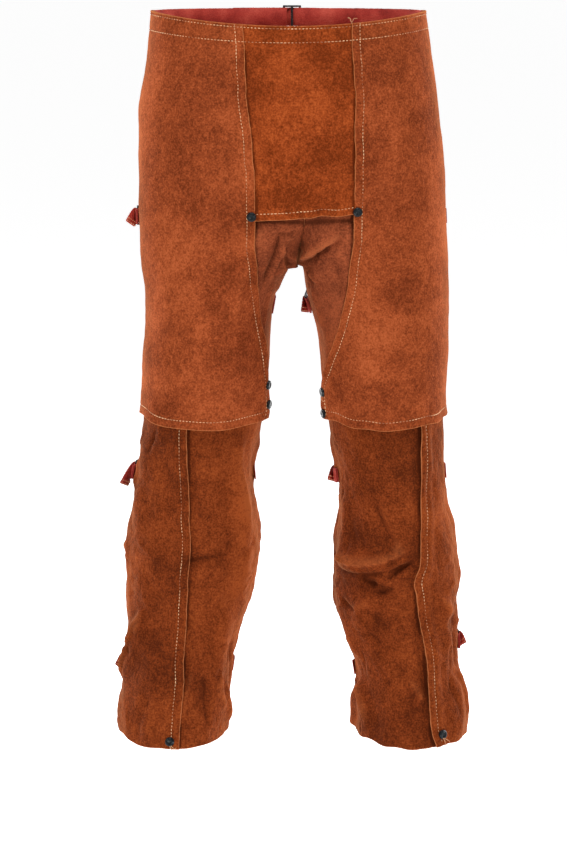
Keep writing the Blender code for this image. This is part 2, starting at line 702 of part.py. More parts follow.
def waist_belt(left, right):
    """Webbing sewn inside the waist edge, round the open back to a slide and on as a tail."""
    low = BELT_DROP - BELT_SEAM - BELT_WIDTH / 2
    inside = -LEATHER - GAP - WEBBING / 2
    behind_drop = left.row_drop(WAIST_DROP, 90) + low

    def around(leg, angle):
        """A station on one side, level behind and with the waist's dip in front."""
        drop = leg.row_drop(WAIST_DROP, min(angle, 90)) + low
        return leg.place(angle, drop, inside), leg.mirrored(leg.normal(angle, drop))

    def behind(x, out):
        """A station behind the wearer, x to the right in millimetres."""
        leg = right if x > 0 else left
        depth = leg.hip_depth("back", x, behind_drop)
        return Vector((x, depth + out, -behind_drop)) * MM, Vector((0, 1, 0))

    def side(leg, inner_x):
        """Stations from near the slide round to the leather's front edge at the centre seam."""
        start = 180 - leg.angle_at(inner_x, behind_drop)
        lines = leg.lines(WAIST_DROP)
        steps = 12
        angles = [mix(start, lines[-1], i / steps) for i in range(steps)] + lines[::-1]
        return [around(leg, angle) for angle in angles]

    bar = SLIDE_BAR / 2
    slot = bar + SLIDE_SLOT
    over = SLIDE_THICK / 2 + GAP + WEBBING / 2
    path = [behind(x, over) for x in (-34, -22, -slot)]
    for i in range(1, 4):
        lean = math.pi * i / 4
        path.append(behind(-slot + over * math.sin(lean), over * math.cos(lean)))
    path += [behind(x, -over) for x in (-slot, -22, -34)]
    path += side(left, 48) + side(right, 36)[-2::-1]
    path += [behind(x, -over) for x in (24, slot - THREAD_ROOM)]
    path += [behind(bar + THREAD_ROOM, over), behind(-bar, over + GAP)]
    path += [behind(x, 2 * over + 0.2) for x in (-slot + 3.4, -22, -34, -46, -62, -80)]
    add_ribbon("waist_belt", path, BELT_WIDTH, Vector((0, 0, 1)))
    middle, away = behind(0, 0)
    add_slide("slide_belt", middle, Vector((-1, 0, 0)), away, BELT_WIDTH)


# ---------------------------------------------------------------- snaps


def seat_gap(foot, spokes, away, below):
    """The least distance from a flat foot down to the piece that it sits on, in metres."""
    corners = [vertex.co for vertex in below.data.vertices]
    tree = BVHTree.FromPolygons(corners, [face.vertices for face in below.data.polygons])
    start = 10 * MM
    gaps = []
    for share in (0.0, 0.5, 1.0):
        for spoke in spokes:
            point = foot + spoke * (share * SNAP_RADIUS * MM) + away * start
            distance = tree.ray_cast(point, -away)[3]
            if distance is not None:
                gaps.append(distance - start)
    return min(gaps)


def add_snap(snap, leg):
    """A turned cap with a shallow dimple in its dome, its flat foot on the leather."""
    profile = (
        (SNAP_RADIUS, 0.0),
        (SNAP_RADIUS, 0.3 * SNAP_HEIGHT),
        (0.8 * SNAP_RADIUS, 0.85 * SNAP_HEIGHT),
        (0.35 * SNAP_RADIUS, SNAP_HEIGHT),
    )
    sides = 12
    away = leg.mirrored(leg.normal(snap.angle, snap.drop))
    across = away.orthogonal().normalized()
    up = away.cross(across)
    turns = [2 * math.pi * i / sides for i in range(sides)]
    spokes = [across * math.cos(turn) + up * math.sin(turn) for turn in turns]
    foot = leg.place(snap.angle, snap.drop, 0.0)
    below = bpy.data.objects[snap.sits_on]
    foot += away * (SNAP_GAP * MM - seat_gap(foot, spokes, away, below))
    points = [foot + (spoke * radius + away * height) * MM for radius, height in profile for spoke in spokes]
    points.append(foot + away * (0.8 * SNAP_HEIGHT * MM))
    faces = [list(range(sides))[::-1]]
    for ring in range(len(profile) - 1):
        for i in range(sides):
            a, b = ring * sides + i, ring * sides + (i + 1) % sides
            faces.append([a, b, b + sides, a + sides])
    last = (len(profile) - 1) * sides
    faces += [[last + i, last + (i + 1) % sides, len(points) - 1] for i in range(sides)]
    add_object(snap.name, points, faces, "snap_black")


def build():
    clear_scene()
    legs = {
        "left": Leg("left", LEFT_SECTIONS, LEFT_FOLDS),
        "right": Leg("right", RIGHT_SECTIONS, RIGHT_FOLDS),
    }
    for leg in legs.values():
        inner_leg_panel(leg)
        outer_leg_panel(leg)
        thigh_panel(leg)
    fly_flap(legs["left"], legs["right"])
    waist_belt(legs["left"], legs["right"])
    for strap in STRAPS:
        strap_and_slide(strap, legs[strap.leg])
    for snap in SNAPS:
        add_snap(snap, legs[snap.leg])


build()
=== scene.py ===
# %% [markdown]
# # Welding chaps in split leather
# Seatless chaps hang from a belt: leather covers the front of the hips and the front and sides of each
# leg, and webbing straps hold it behind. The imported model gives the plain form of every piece. This
# script lays the finished leather, sewing, webbing and metal on that form, in the same frame: metres,
# +Z up, front towards -Y, origin in the middle of the waist opening.

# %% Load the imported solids
import itertools
import math
from collections import namedtuple

import bmesh
import bpy
import numpy as np
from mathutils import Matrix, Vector


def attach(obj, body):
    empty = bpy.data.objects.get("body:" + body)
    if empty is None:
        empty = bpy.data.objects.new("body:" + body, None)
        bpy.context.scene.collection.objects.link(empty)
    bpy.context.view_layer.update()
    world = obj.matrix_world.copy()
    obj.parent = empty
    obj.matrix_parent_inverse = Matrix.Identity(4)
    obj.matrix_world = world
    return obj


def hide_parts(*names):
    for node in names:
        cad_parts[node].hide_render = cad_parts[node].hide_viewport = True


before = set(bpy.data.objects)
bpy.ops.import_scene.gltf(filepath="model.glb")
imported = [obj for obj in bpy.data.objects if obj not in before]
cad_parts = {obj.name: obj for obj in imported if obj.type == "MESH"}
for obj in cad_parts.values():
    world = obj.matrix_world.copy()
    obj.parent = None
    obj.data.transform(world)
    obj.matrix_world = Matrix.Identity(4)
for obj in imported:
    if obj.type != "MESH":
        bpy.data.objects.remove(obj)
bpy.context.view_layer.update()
MM = 0.001

# %% [markdown]
# ## Sizes
# A pattern cutter thinks in millimetres, so the sizes are in millimetres and are turned into metres
# only when a point is made. A height is given as a drop: how far below the waist it lies.

# %% Sizes in millimetres
LEATHER, WEBBING = 1.6, 1.4  # thicknesses
GAP = 0.3  # between two layers that touch
LAP_GAP = 0.5  # under the lap of the shin seam
LAYER = LEATHER + GAP
WAIST_DROP, BELT_DROP, FLAP_DROP, KNEE_DROP, HEM_DROP = 0.0, 27.0, 259.5, 539.0, 978.0
LAP = 14.0  # how far the outer leg panel laps over the inner one
TUCK = 12.0  # how far the flap's side lies under a thigh panel
STEP_DOWN = 9.0  # the leather beyond a lap comes down to its own layer over this width
SEAM = 11.0  # from a cut edge to its row of stitches
WAIST_SEAMS = (4.0, 23.0)
HIP_SQUARENESS = 2.35  # 2 would make the hips an oval
CROTCH_START, LEG_START, LEG_WHOLE, CROTCH_POINT = 240.0, 272.0, 388.0, 328.5  # where the legs part
LAP_LOW, LAP_HIGH = 483.0, 455.0  # the outer leg panel rises onto the inner one between these drops
SEAM_MEET = 0.15  # the two inner leg panels press together on the centre seam
INNER_BACK = -135.0  # beyond this angle the inner side of a leg lies at the back
KNEE_LOOSE = (480, 640)  # the leather hangs looser below these drops
STEP = 3.0  # size of one mesh field on the leather
FINE_STEP = 1.6  # the same where creases crowd

# %% [markdown]
# ## The shape of a leg, as tables
# A garment's form is easiest to read as sections at a few heights. Modelling it by hand, or wrapping a
# grid round a dummy, would hide these numbers. Each row gives, for both legs, the drop, the depth in
# front and behind, and how far the leather wraps round on the inner and the outer side (degrees from
# the front). The left leg's own numbers follow, then the right leg's: the outer side, how far the inner
# side lies from the centre seam, and where the thigh panel's edge and the shin seam lie.

# %% Section tables
Section = namedtuple("Section", "drop front back wrap_in wrap_out outer spread thigh_edge shin_edge")
SECTIONS = [
    (0, -112, 112, 90, 104, (187, 0, 64, 116), (177, 0, 76, 122)),
    (60, -119, 118, 90, 105, (193, 0, 61, 118), (186, 0, 79, 128)),
    (130, -124, 124, 90, 106, (204, 0, 56, 122), (195, 0, 82, 136)),
    (200, -125, 128, 90, 107, (204, 0, 49, 126), (203, 0, 81, 144)),
    (262, -123, 126, 90, 108, (204, 0, 48, 129), (205, 0, 80, 150)),
    (300, -119, 118, 90, 108, (203, 3, 48, 131), (207, 1.5, 79, 154)),
    (328, -115, 110, 90, 108, (201.5, 12, 47, 132), (209, 6, 76.5, 157)),
    (340, -113, 106, 91, 108, (200.5, 18.5, 47, 132), (209, 8.5, 75.5, 157.5)),
    (365, -110, 100, 94, 108, (197, 27.5, 46, 133), (209.5, 12, 72, 159)),
    (395, -107, 94, 97, 109, (196, 34, 45, 134), (209.5, 20, 67, 161)),
    (430, -104, 90, 99, 110, (196.5, 36, 42, 136), (208.5, 28.5, 60, 164)),
    (500, -98, 82, 101, 111, (199, 41, 39, 138), (204, 35, 47, 168)),
    (560, -94, 75, 104, 112, (204, 50, 49, 139), (206, 45, 58, 170.5)),
    (605, -92, 68, 107, 112, (209, 62, 61, 138.5), (208, 55, 68, 171.5)),
    (660, -87, 73, 110, 113, (217, 56, 57, 138), (213, 58, 72, 172)),
    (705, -84, 81, 112, 114, (223, 53, 55, 137), (221, 55, 70, 172.5)),
    (780, -82, 88, 114, 115, (225, 63, 65, 141), (228, 53, 69, 168)),
    (850, -86, 87, 114, 115, (227, 82, 83, 145), (228, 69, 84, 179)),
    (900, -94, 84, 113, 114, (232, 90, 91, 148), (233, 84, 99, 183)),
    (950, -104, 83, 111, 112, (240, 93, 94, 152), (243, 84, 99, 187)),
    (985, -110, 84, 110, 111, (238, 96, 97, 153.5), (241, 80, 95, 196)),
]
LEFT_SECTIONS = [Section(*row[:5], *row[5]) for row in SECTIONS]
RIGHT_SECTIONS = [Section(*row[:5], *row[6]) for row in SECTIONS]
Seam = namedtuple("Seam", "drop aside")
CENTRE_SEAM = [Seam(0, 14.0), Seam(262, 16.0), Seam(300, 10.0), Seam(325, 7.0), Seam(990, 7.0)]
Edge = namedtuple("Edge", "drop dip slant")
EDGES = [
    Edge(WAIST_DROP, 17, 0.0),
    Edge(120, 5, -0.03),
    Edge(FLAP_DROP, 0, -0.06),
    Edge(330, 0, -0.02),
    Edge(450, 9, 0.0),
    Edge(KNEE_DROP, 11, 0.0),
    Edge(700, 5, 0.0),
    Edge(HEM_DROP, 6, 0.0),
]

# %% [markdown]
# ## Folds and creases
# Chaps fold where they bend and where they bag: at the crotch, behind the knee and above the hem. Cloth
# simulation would give folds, but not these ones, so each is one row: a soft ridge, or a trough where
# its height is negative, from one end to the other, given by the angle round the leg and the drop. It
# may bow sideways, and lean so that one flank is steeper.

# %% Fold tables
Fold = namedtuple("Fold", "angle_a drop_a angle_b drop_b width height bow lean", defaults=(0, 0))
LEFT_FOLDS = [
    (-46, 282, -50, 352, 12, -3),
    (-84, 322, -80, 372, 12, 4),
    (-60, 400, -62, 545, 15, 4),
    (-58, 560, -54, 800, 17, 5),
    (-34, 600, -36, 770, 15, -3.5),
    (-46, 790, -40, 985, 18, 5),
    (40, 800, 82, 915, 15, 6),
    (60, 560, 66, 700, 20, 4),
    (-100, 650, -102, 845, 16, 5),
    (98, 655, 100, 840, 18, 5),
    (20, 860, 16, 985, 20, 3),
    (108, 895, 112, 1110, 12, 5),
    # finer creases of the left leg
    (-70, 276, -42, 279, 3.0, -4.6, -3, -0.4),
    (-72, 284, -50, 284, 4.0, 3.0, -3, 0.3),
    (-44, 272, -50, 362, 3.2, -5.5, -5, 0.5),
    (-50, 278, -57, 352, 4.5, 4.0, -5, 0.2),
    (-56, 292, -74, 345, 2.6, 5.0, 2, 0.4),
    (-60, 296, -78, 334, 2.6, -3.2, 2, 0.2),
    (-66, 340, -62, 420, 3.2, 3.6, 2, 0.3),
    (-86, 268, -80, 322, 3.2, 4.5, 1, 0.3),
    (-72, 284, -68, 325, 9.5, -3.0, 2, 0.2),
    (-63, 300, -61, 345, 4.5, -4.0, 0, 0.2),
    (-84, 322, -56, 312, 3.2, 2.6, 2, 0.3),
    (-82, 331, -58, 322, 2.8, -2.4, 2, 0.0),
    (-34, 262, -28, 300, 7, 3.4, 2, 0.2),
    (-30, 268, -2, 276, 6, -2.2, 2, 0.3),
    (-30, 270, -26, 420, 8, 3.3, 4, 0.2),
    (-20, 285, 12, 294, 7, -2.0, 0, 0.4),
    (-40, 722, 14, 730, 7, -5.1, 4, -0.3),
    (-36, 738, 8, 748, 12, 4.5, 3, 0.2),
    (-70, 705, -44, 726, 8, -3.3, 0, 0.2),
    (44, 798, 84, 912, 5, 7.5, 4, 0.55),
    (47, 796, 51, 836, 4, 4.8, -2, 0.3),
    (26, 765, 34, 800, 8, -3.6, 0, 0.0),
    (-16, 868, -10, 950, 7, 4.8, 2, 0.2),
    (-27, 875, -38, 960, 7, -6.0, -3, 0.2),
    (-47, 880, -66, 940, 7, 5.4, 4, 0.4),
    (-66, 900, -86, 966, 6, 5.4, 3, 0.3),
    (-60, 835, -90, 925, 7, -3.9, 2, 0.3),
    (-42, 545, -58, 700, 9, 3.9, -5, 0.3),
    (-6, 560, -10, 690, 14, 2.4, 3, 0.0),
    (72, 590, 84, 640, 8, 4.5, 3, 0.3),
    (88, 700, 80, 780, 9, 3.6, -3, 0.2),
    (24, 905, 40, 980, 8, -3.3, 2, 0.2),
    (-92, 560, -98, 640, 8, 4.5, 2, 0.2),
]
RIGHT_FOLDS = [
    (-80, 322, -26, 281, 12, 5),
    (-78, 338, -40, 306, 10, -4),
    (-54, 395, -64, 530, 15, 4),
    (-84, 730, 16, 738, 19, 6),
    (-84, 766, 20, 768, 14, -5),
    (-60, 640, -66, 735, 15, 4),
    (48, 780, 56, 870, 12, 5),
    (70, 800, 74, 900, 12, -4),
    (-70, 890, -58, 985, 16, 6),
    (62, 890, 50, 985, 15, 5),
    (-100, 650, -102, 845, 16, 5),
    (98, 655, 100, 800, 18, 5),
    (-20, 850, -18, 985, 20, 3),
    (-106, 890, -112, 1110, 14, 13),
    # finer creases of the right leg
    (-78, 319, -22, 275, 3.6, 7.0, -3, 0.5),
    (-78, 324, -34, 293, 3.4, -8.0, -5, -0.4),
    (-74, 326, -56, 352, 2.6, 4.6, 1, 0.4),
    (-77, 334, -62, 358, 3.0, -5.6, 0, 0.2),
    (-46, 300, -26, 286, 3.0, -3.4, -2, -0.3),
    (-66, 356, -64, 420, 5, 3.4, 2, 0.3),
    (-66, 262, -50, 292, 7, -2.6, 0, 0.2),
    (-36, 306, -31, 372, 8, -3.4, 2, 0.2),
    (-24, 262, -22, 300, 5, 2.4, 1, 0.2),
    (-27, 640, -2, 708, 6, -5.4, 2, 0.3),
    (-18, 636, 6, 722, 8, 4.8, -2, 0.2),
    (-62, 655, -40, 715, 8, -3.3, 0, 0.2),
    (-88, 728, 19, 704, 7, 6.0, -15, 0.35),
    (-90, 744, 19, 722, 5.5, -7.0, -15, -0.25),
    (-68, 788, -42, 801, 5, -4.8, -3, 0.2),
    (-50, 806, -24, 786, 6, 4.2, 3, 0.2),
    (-24, 772, -2, 762, 5, -4.4, -3, 0.1),
    (-40, 826, -22, 842, 5, -3.6, 2, 0.1),
    (-42, 754, -20, 762, 6, -5.7, 0, 0.2),
    (-12, 758, 19, 728, 4.0, -6.0, 4, 0.3),
    (-16, 748, 14, 724, 4.0, 4.0, 4, 0.2),
    (-28, 798, -12, 826, 9, -4.5, 2, 0.1),
    (-14, 866, -4, 882, 7, -4.5, 0, 0.2),
    (-4, 884, 12, 922, 9, 4.8, 2, 0.2),
    (38, 778, 58, 812, 6, 5.1, 3, 0.4),
    (46, 812, 78, 862, 6, -4.2, 2, 0.3),
    (48, 888, 54, 955, 7, -4.5, 2, 0.2),
    (70, 880, 78, 960, 8, 5.1, 3, 0.3),
    (-74, 898, -54, 962, 5, 5.4, 3, 0.5),
    (-84, 800, -60, 880, 9, 3.9, 3, 0.2),
    (12, 330, -6, 382, 8, -2.2, 3, 0.2),
    (8, 508, 42, 520, 7, 3.0, 2, 0.3),
    (78, 612, 84, 640, 6, -4.5, 0, 0.2),
    (-92, 560, -98, 640, 8, 4.5, 2, 0.2),
]

# %% [markdown]
# ## Crumples
# Where the leather bags it is full of small creases. Nobody would place those one by one, so they are
# thrown at random within a field of the leg, and most of them lie in the field's own direction.

# %% Small creases
Crumple = namedtuple("Crumple", "angle_low angle_high drop_low drop_high count lie")
LEFT_CRUMPLES = [
    (-95, -15, 275, 335, 10, 70),
    (-95, 0, 690, 790, 14, 20),
    (20, 105, 700, 800, 12, -20),
    (-105, -20, 850, 970, 16, 75),
    (10, 105, 840, 970, 14, 110),
    (40, 105, 560, 660, 8, 60),
]
RIGHT_CRUMPLES = [
    (-95, -15, 275, 345, 9, 150),
    (-95, 5, 700, 850, 26, 25),
    (20, 105, 720, 860, 18, 150),
    (-105, -10, 850, 970, 16, 80),
    (20, 105, 850, 970, 14, 100),
    (-100, -60, 560, 680, 8, 110),
]
FOLD_RADIUS = 85.0  # turns an angle into millimetres round the leg
CREASE_LENGTH, CREASE_WIDTH, CREASE_HEIGHT = (16, 46), (2.2, 4.6), (1.0, 3.0)
CREASE_SCATTER = 32  # degrees about the lie
RIDGE_SHARE = 0.8  # a ridge is a little lower than a trough is deep


def crumpled(fields, seed):
    """Rows of small folds. `lie` is the direction that most of them take, in degrees from level."""
    draw = np.random.default_rng(seed)
    folds = []
    for field in itertools.starmap(Crumple, fields):
        for _ in range(field.count):
            angle = draw.uniform(field.angle_low, field.angle_high)
            drop = draw.uniform(field.drop_low, field.drop_high)
            turn = math.radians(field.lie + draw.normal(0, CREASE_SCATTER))
            length = draw.uniform(*CREASE_LENGTH)
            height = draw.uniform(*CREASE_HEIGHT) * draw.choice((-1.0, RIDGE_SHARE))
            bow, lean = draw.uniform(-3, 3), draw.uniform(-0.4, 0.4)
            width = draw.uniform(*CREASE_WIDTH)
            aside = math.degrees(length * math.cos(turn) / 2 / FOLD_RADIUS)
            down = length * math.sin(turn) / 2
            folds.append((angle - aside, drop - down, angle + aside, drop + down, width, height, bow, lean))
    return folds


# %% [markdown]
# ## Smooth helpers
# The tables hold only a few heights, so a Hermite curve joins them. It is the curve the solids use, and
# it works on whole arrays, because a fine sheet has tens of thousands of points.


# %% Steps, waves and curves
def soft_step(low, high, value):
    """0 at low, 1 at high, smooth between. It falls where high is below low."""
    share = np.clip((value - low) / (high - low), 0.0, 1.0)
    return share * share * (3 - 2 * share)


def mix(first, second, share):
    return first + (second - first) * share


def ripple(across, down, size, seed, waves=9):
    """An uneven surface made of a few crossed waves about `size` long, with a swing of about 1."""
    draw = np.random.default_rng(seed)
    total = 0.0
    for _ in range(waves):
        turn, length, phase = draw.uniform(0, 2 * np.pi), size * draw.uniform(0.7, 1.7), draw.uniform(0, 7)
        total = total + np.sin((across * np.cos(turn) + down * np.sin(turn)) * 2 * np.pi / length + phase)
    return total / math.sqrt(waves / 2)


def bell(distance, width):
    """1 at no distance, falling away on both sides."""
    return np.exp(-((distance / width) ** 2))


def wave(place, length, seed):
    """A ripple along one line, for an edge that scissors cut by eye."""
    return ripple(place, 0.0, length, seed, waves=5)


class Curve:
    """A smooth curve through (place, value) pairs whose places rise."""

    def __init__(self, pairs):
        self.places, self.values = np.array(pairs, float).T
        last = len(pairs) - 1
        low = np.maximum(np.arange(last + 1) - 1, 0)
        high = np.minimum(np.arange(last + 1) + 1, last)
        before = self.values - self.values[low]
        after = self.values[high] - self.values
        turns = (low < np.arange(last + 1)) & (np.arange(last + 1) < high) & (before * after <= 0)
        self.slopes = np.where(turns, 0.0, (before + after) / (self.places[high] - self.places[low]))

    def __call__(self, place):
        place = np.clip(place, self.places[0], self.places[-1])
        i = np.clip(np.searchsorted(self.places, place, side="right") - 1, 0, len(self.places) - 2)
        span = self.places[i + 1] - self.places[i]
        t = (place - self.places[i]) / span
        keep = (1 + 2 * t) * (1 - t) ** 2
        lead = t * (1 - t) ** 2 * span * self.slopes[i]
        follow = t * t * (t - 1) * span * self.slopes[i + 1]
        return keep * self.values[i] + lead + (1 - keep) * self.values[i + 1] + follow


def column(rows, name):
    return Curve([(row.drop, getattr(row, name)) for row in rows])


# %% [markdown]
# ## The surface of a leg
# Every piece of leather lies on one surface: a squared oval round the hips that turns, below the fly,
# into an oval round each leg. A piece is that surface moved outwards by its layer, so two layers never
# cut each other. Extruding each panel by itself would need fitting by eye at every seam.


# %% The leg surface
SEAM_SIDE, SEAM_PULL = (-52, -84), (-58, -86)  # angles over which the centre seam's pull begins and is full
PULL_END = (CROTCH_POINT + 2.0, CROTCH_POINT + 0.4)
TURN_STEP, DROP_STEP = 1.5, 4  # how far apart points are taken to find a surface's direction
BROAD = 9  # a fold wider than this is broad and rounded
BROAD_SHARPNESS, TROUGH_SHARPNESS, RIDGE_SHARPNESS = 2.0, 1.15, 1.6
LOOSENESS = (0.22, 0.55)  # height of the leather's own unevenness above and below the knee
LOOSE_SIZES = (48, 19)


class Leg:
    """One side of the garment. Inside this class x grows outwards from the garment's middle."""

    def __init__(self, side, sections, folds, seed):
        self.name, self.sign = side, -1 if side == "left" else 1
        self.folds, self.seed = [Fold(*row) for row in folds], seed
        self.outline = {name: column(sections, name) for name in Section._fields[1:]}
        self.centre = column(CENTRE_SEAM, "aside")
        self.dip = column(EDGES, "dip")
        self.slant = column(EDGES, "slant")

    def mirrored(self, points):
        return points * np.array([self.sign, 1, 1])

    def oval(self, drop):
        """Middle and half width, middle and half depth of the leg at a drop."""
        outer = self.outline["outer"](drop)
        inner = self.sign * self.centre(drop) + self.outline["spread"](drop)
        front, back = self.outline["front"](drop), self.outline["back"](drop)
        return (outer + inner) / 2, (outer - inner) / 2, (front + back) / 2, (back - front) / 2

    def legness(self, angle, drop):
        """0 where the leather still goes round the hips, 1 where it goes round the leg."""
        beside_seam = np.where(angle > INNER_BACK, soft_step(*SEAM_SIDE, angle), 0.0)
        return soft_step(mix(LEG_START, CROTCH_START, beside_seam), LEG_WHOLE, drop)

    def leg_point(self, angle, drop):
        """A point on the leg's oval, drawn to the centre seam above the crotch point."""
        mid_x, half_x, mid_y, half_y = self.oval(drop)
        turn = np.radians(angle)
        on_seam = soft_step(*SEAM_PULL, angle) * (np.asarray(angle) > INNER_BACK)
        on_seam = on_seam * soft_step(*PULL_END, drop)
        x = mid_x + half_x * np.sin(turn) - (self.outline["spread"](drop) + SEAM_MEET) * on_seam
        return np.stack([x, mid_y - half_y * np.cos(turn), -drop], axis=-1)

    def hip_depth(self, behind, x, drop):
        """How far the hips reach forwards or back at a place across."""
        reach = np.minimum(np.abs(x) / self.outline["outer"](drop), 1.0) ** HIP_SQUARENESS
        edge = np.where(behind, self.outline["back"](drop), self.outline["front"](drop))
        return edge * (1 - reach) ** (1 / HIP_SQUARENESS)

    def body(self, angle, drop):
        """The surface that the leg panels and thigh panels follow."""
        angle, drop = np.broadcast_arrays(angle, drop)
        points = self.leg_point(angle, drop)
        behind = (angle <= INNER_BACK) | (angle > 90)
        hip_y = self.hip_depth(behind, points[..., 0], drop)
        points[..., 1] = mix(hip_y, points[..., 1], self.legness(angle, drop))
        return points

    def apron(self, angle, drop):
        """The same surface as if it went straight on down from the hips, as the flap does."""
        angle, drop = np.broadcast_arrays(angle, drop)
        points = self.leg_point(angle, drop)
        points[..., 1] = self.hip_depth(False, points[..., 0], drop)
        return points

    def normal(self, angle, drop, surface):
        across = surface(angle + TURN_STEP, drop) - surface(angle - TURN_STEP, drop)
        down = surface(angle, drop + DROP_STEP) - surface(angle, drop - DROP_STEP)
        return unit(np.cross(down, across))

    def fold_height(self, angle, drop, broad=1.0):
        """How high the folds alone stand, in millimetres, the broad ones in part if asked."""
        across = np.radians(angle) * FOLD_RADIUS
        height = 0.0
        for fold in self.folds:
            start = math.radians(fold.angle_a) * FOLD_RADIUS, fold.drop_a
            run = math.radians(fold.angle_b) * FOLD_RADIUS - start[0], fold.drop_b - start[1]
            length = math.hypot(*run)
            along = ((across - start[0]) * run[0] + (drop - start[1]) * run[1]) / length**2
            aside = ((across - start[0]) * run[1] - (drop - start[1]) * run[0]) / length
            aside = aside - fold.bow * 4 * along * (1 - along)
            width = fold.width * (1 + fold.lean * np.sign(aside))
            ends = soft_step(0, 0.25, along) * soft_step(1, 0.75, along)
            sharpness = TROUGH_SHARPNESS if fold.height < 0 else RIDGE_SHARPNESS
            full = fold.height
            if fold.width > BROAD:
                sharpness, full = BROAD_SHARPNESS, full * broad
            height = height + full * ends * np.exp(-(np.abs(aside / width) ** sharpness))
        return height

    def relief(self, angle, drop):
        """Folds and the leather's own unevenness, the same for every layer at a place."""
        across = np.radians(angle) * FOLD_RADIUS
        height = self.fold_height(angle, drop)
        loose = mix(*LOOSENESS, soft_step(*KNEE_LOOSE, drop))
        height = height + loose * ripple(across, drop, LOOSE_SIZES[0], self.seed)
        height = height + 0.45 * loose * ripple(across, drop, LOOSE_SIZES[1], self.seed + 1)
        beside_seam = np.where(drop < CROTCH_POINT, soft_step(-88, -72, angle), 1.0)
        return height * beside_seam

    def place(self, angle, drop, out, surface=None):
        """Points in metres, `out` millimetres off a surface and its folds."""
        surface = surface or self.body
        if surface == self.body:
            out = out + self.relief(angle, drop)
        away = self.normal(angle, drop, surface)
        return self.mirrored(surface(angle, drop) + away * np.asarray(out)[..., None]) * MM

    def away(self, angle, drop, surface=None):
        return self.mirrored(self.normal(angle, drop, surface or self.body))

    def angle_at(self, x, drop):
        mid_x, half_x, _, _ = self.oval(drop)
        return np.degrees(np.arcsin(np.clip((x - mid_x) / half_x, -1.0, 1.0)))

    def panel_angle(self, level):
        """Where the thigh panel's sewn edge lies."""
        return self.angle_at(self.outline["thigh_edge"](level), level)

    def row_drop(self, level, angle):
        """The drop at this angle of a row that is called by its level."""
        x = self.leg_point(angle, level + 0 * angle)[..., 0]
        hip_share = 1 - (x / self.outline["outer"](level)) ** 2
        leg_share = np.maximum(np.cos(np.radians(angle)), 0.0) ** 2
        share = mix(hip_share, leg_share, soft_step(LEG_START, LEG_WHOLE, level))
        return level + self.dip(level) * (share - 0.5) + self.slant(level) * self.sign * x


legs = {
    "left": Leg("left", LEFT_SECTIONS, LEFT_FOLDS + crumpled(LEFT_CRUMPLES, 3), 11),
    "right": Leg("right", RIGHT_SECTIONS, RIGHT_FOLDS + crumpled(RIGHT_CRUMPLES, 8), 23),
}
print(f"{len(legs['left'].folds) + len(legs['right'].folds)} folds")

# %% [markdown]
# ## Cutting a piece
# A real piece is cut flat and has edges at so many millimetres from its seams. So each row's angles are
# turned into millimetres measured along the leather, and a piece is laid out in those. Its mesh is
# finest beside its edges, where the seams pull it in, and even between.

# %% A piece of leather
Patch = namedtuple("Patch", "angle drop from_start from_end from_top from_foot")
EDGE_MARKS = (0, 0.45, 1.1, 2.2, 4, 6, 8, 9.3, 10.2, 11, 11.8, 12.7, 14, 16.5)
PLAIN_MARKS = (0, 0.45, 1.1, 2.4, 5)
FREE_INSEAM = (350, 380)  # below these drops the inseam edge is cut and free
ON_SEAM = -89  # an edge that starts past this angle is the centre seam
SCISSORS = {"start": (70, 17, 5), "end": (80, 19, 7)}  # two lengths of wave and a seed for a cut edge
WAIST_MARKS = (0, 0.45, 1.1, 2.2, 3.2, 4, 4.8, 5.8, 8, 11, 14, 17, 19.5, 21.2, 22.2, 23, 23.8, 24.8, 27)


def graded(width, start_marks, end_marks, step=STEP):
    """Distances across a piece for each row: fine beside its two edges, even between."""
    width = np.atleast_1d(np.asarray(width, float))[:, None]
    start = np.broadcast_to(np.array(start_marks, float), (len(width), len(start_marks)))
    end = width - np.array(end_marks, float)[::-1]
    count = max(int((width.max() - start_marks[-1] - end_marks[-1]) / step), 2)
    share = np.arange(1, count) / count
    return np.hstack([start, mix(start[:, -1:], end[:, :1], share), end])


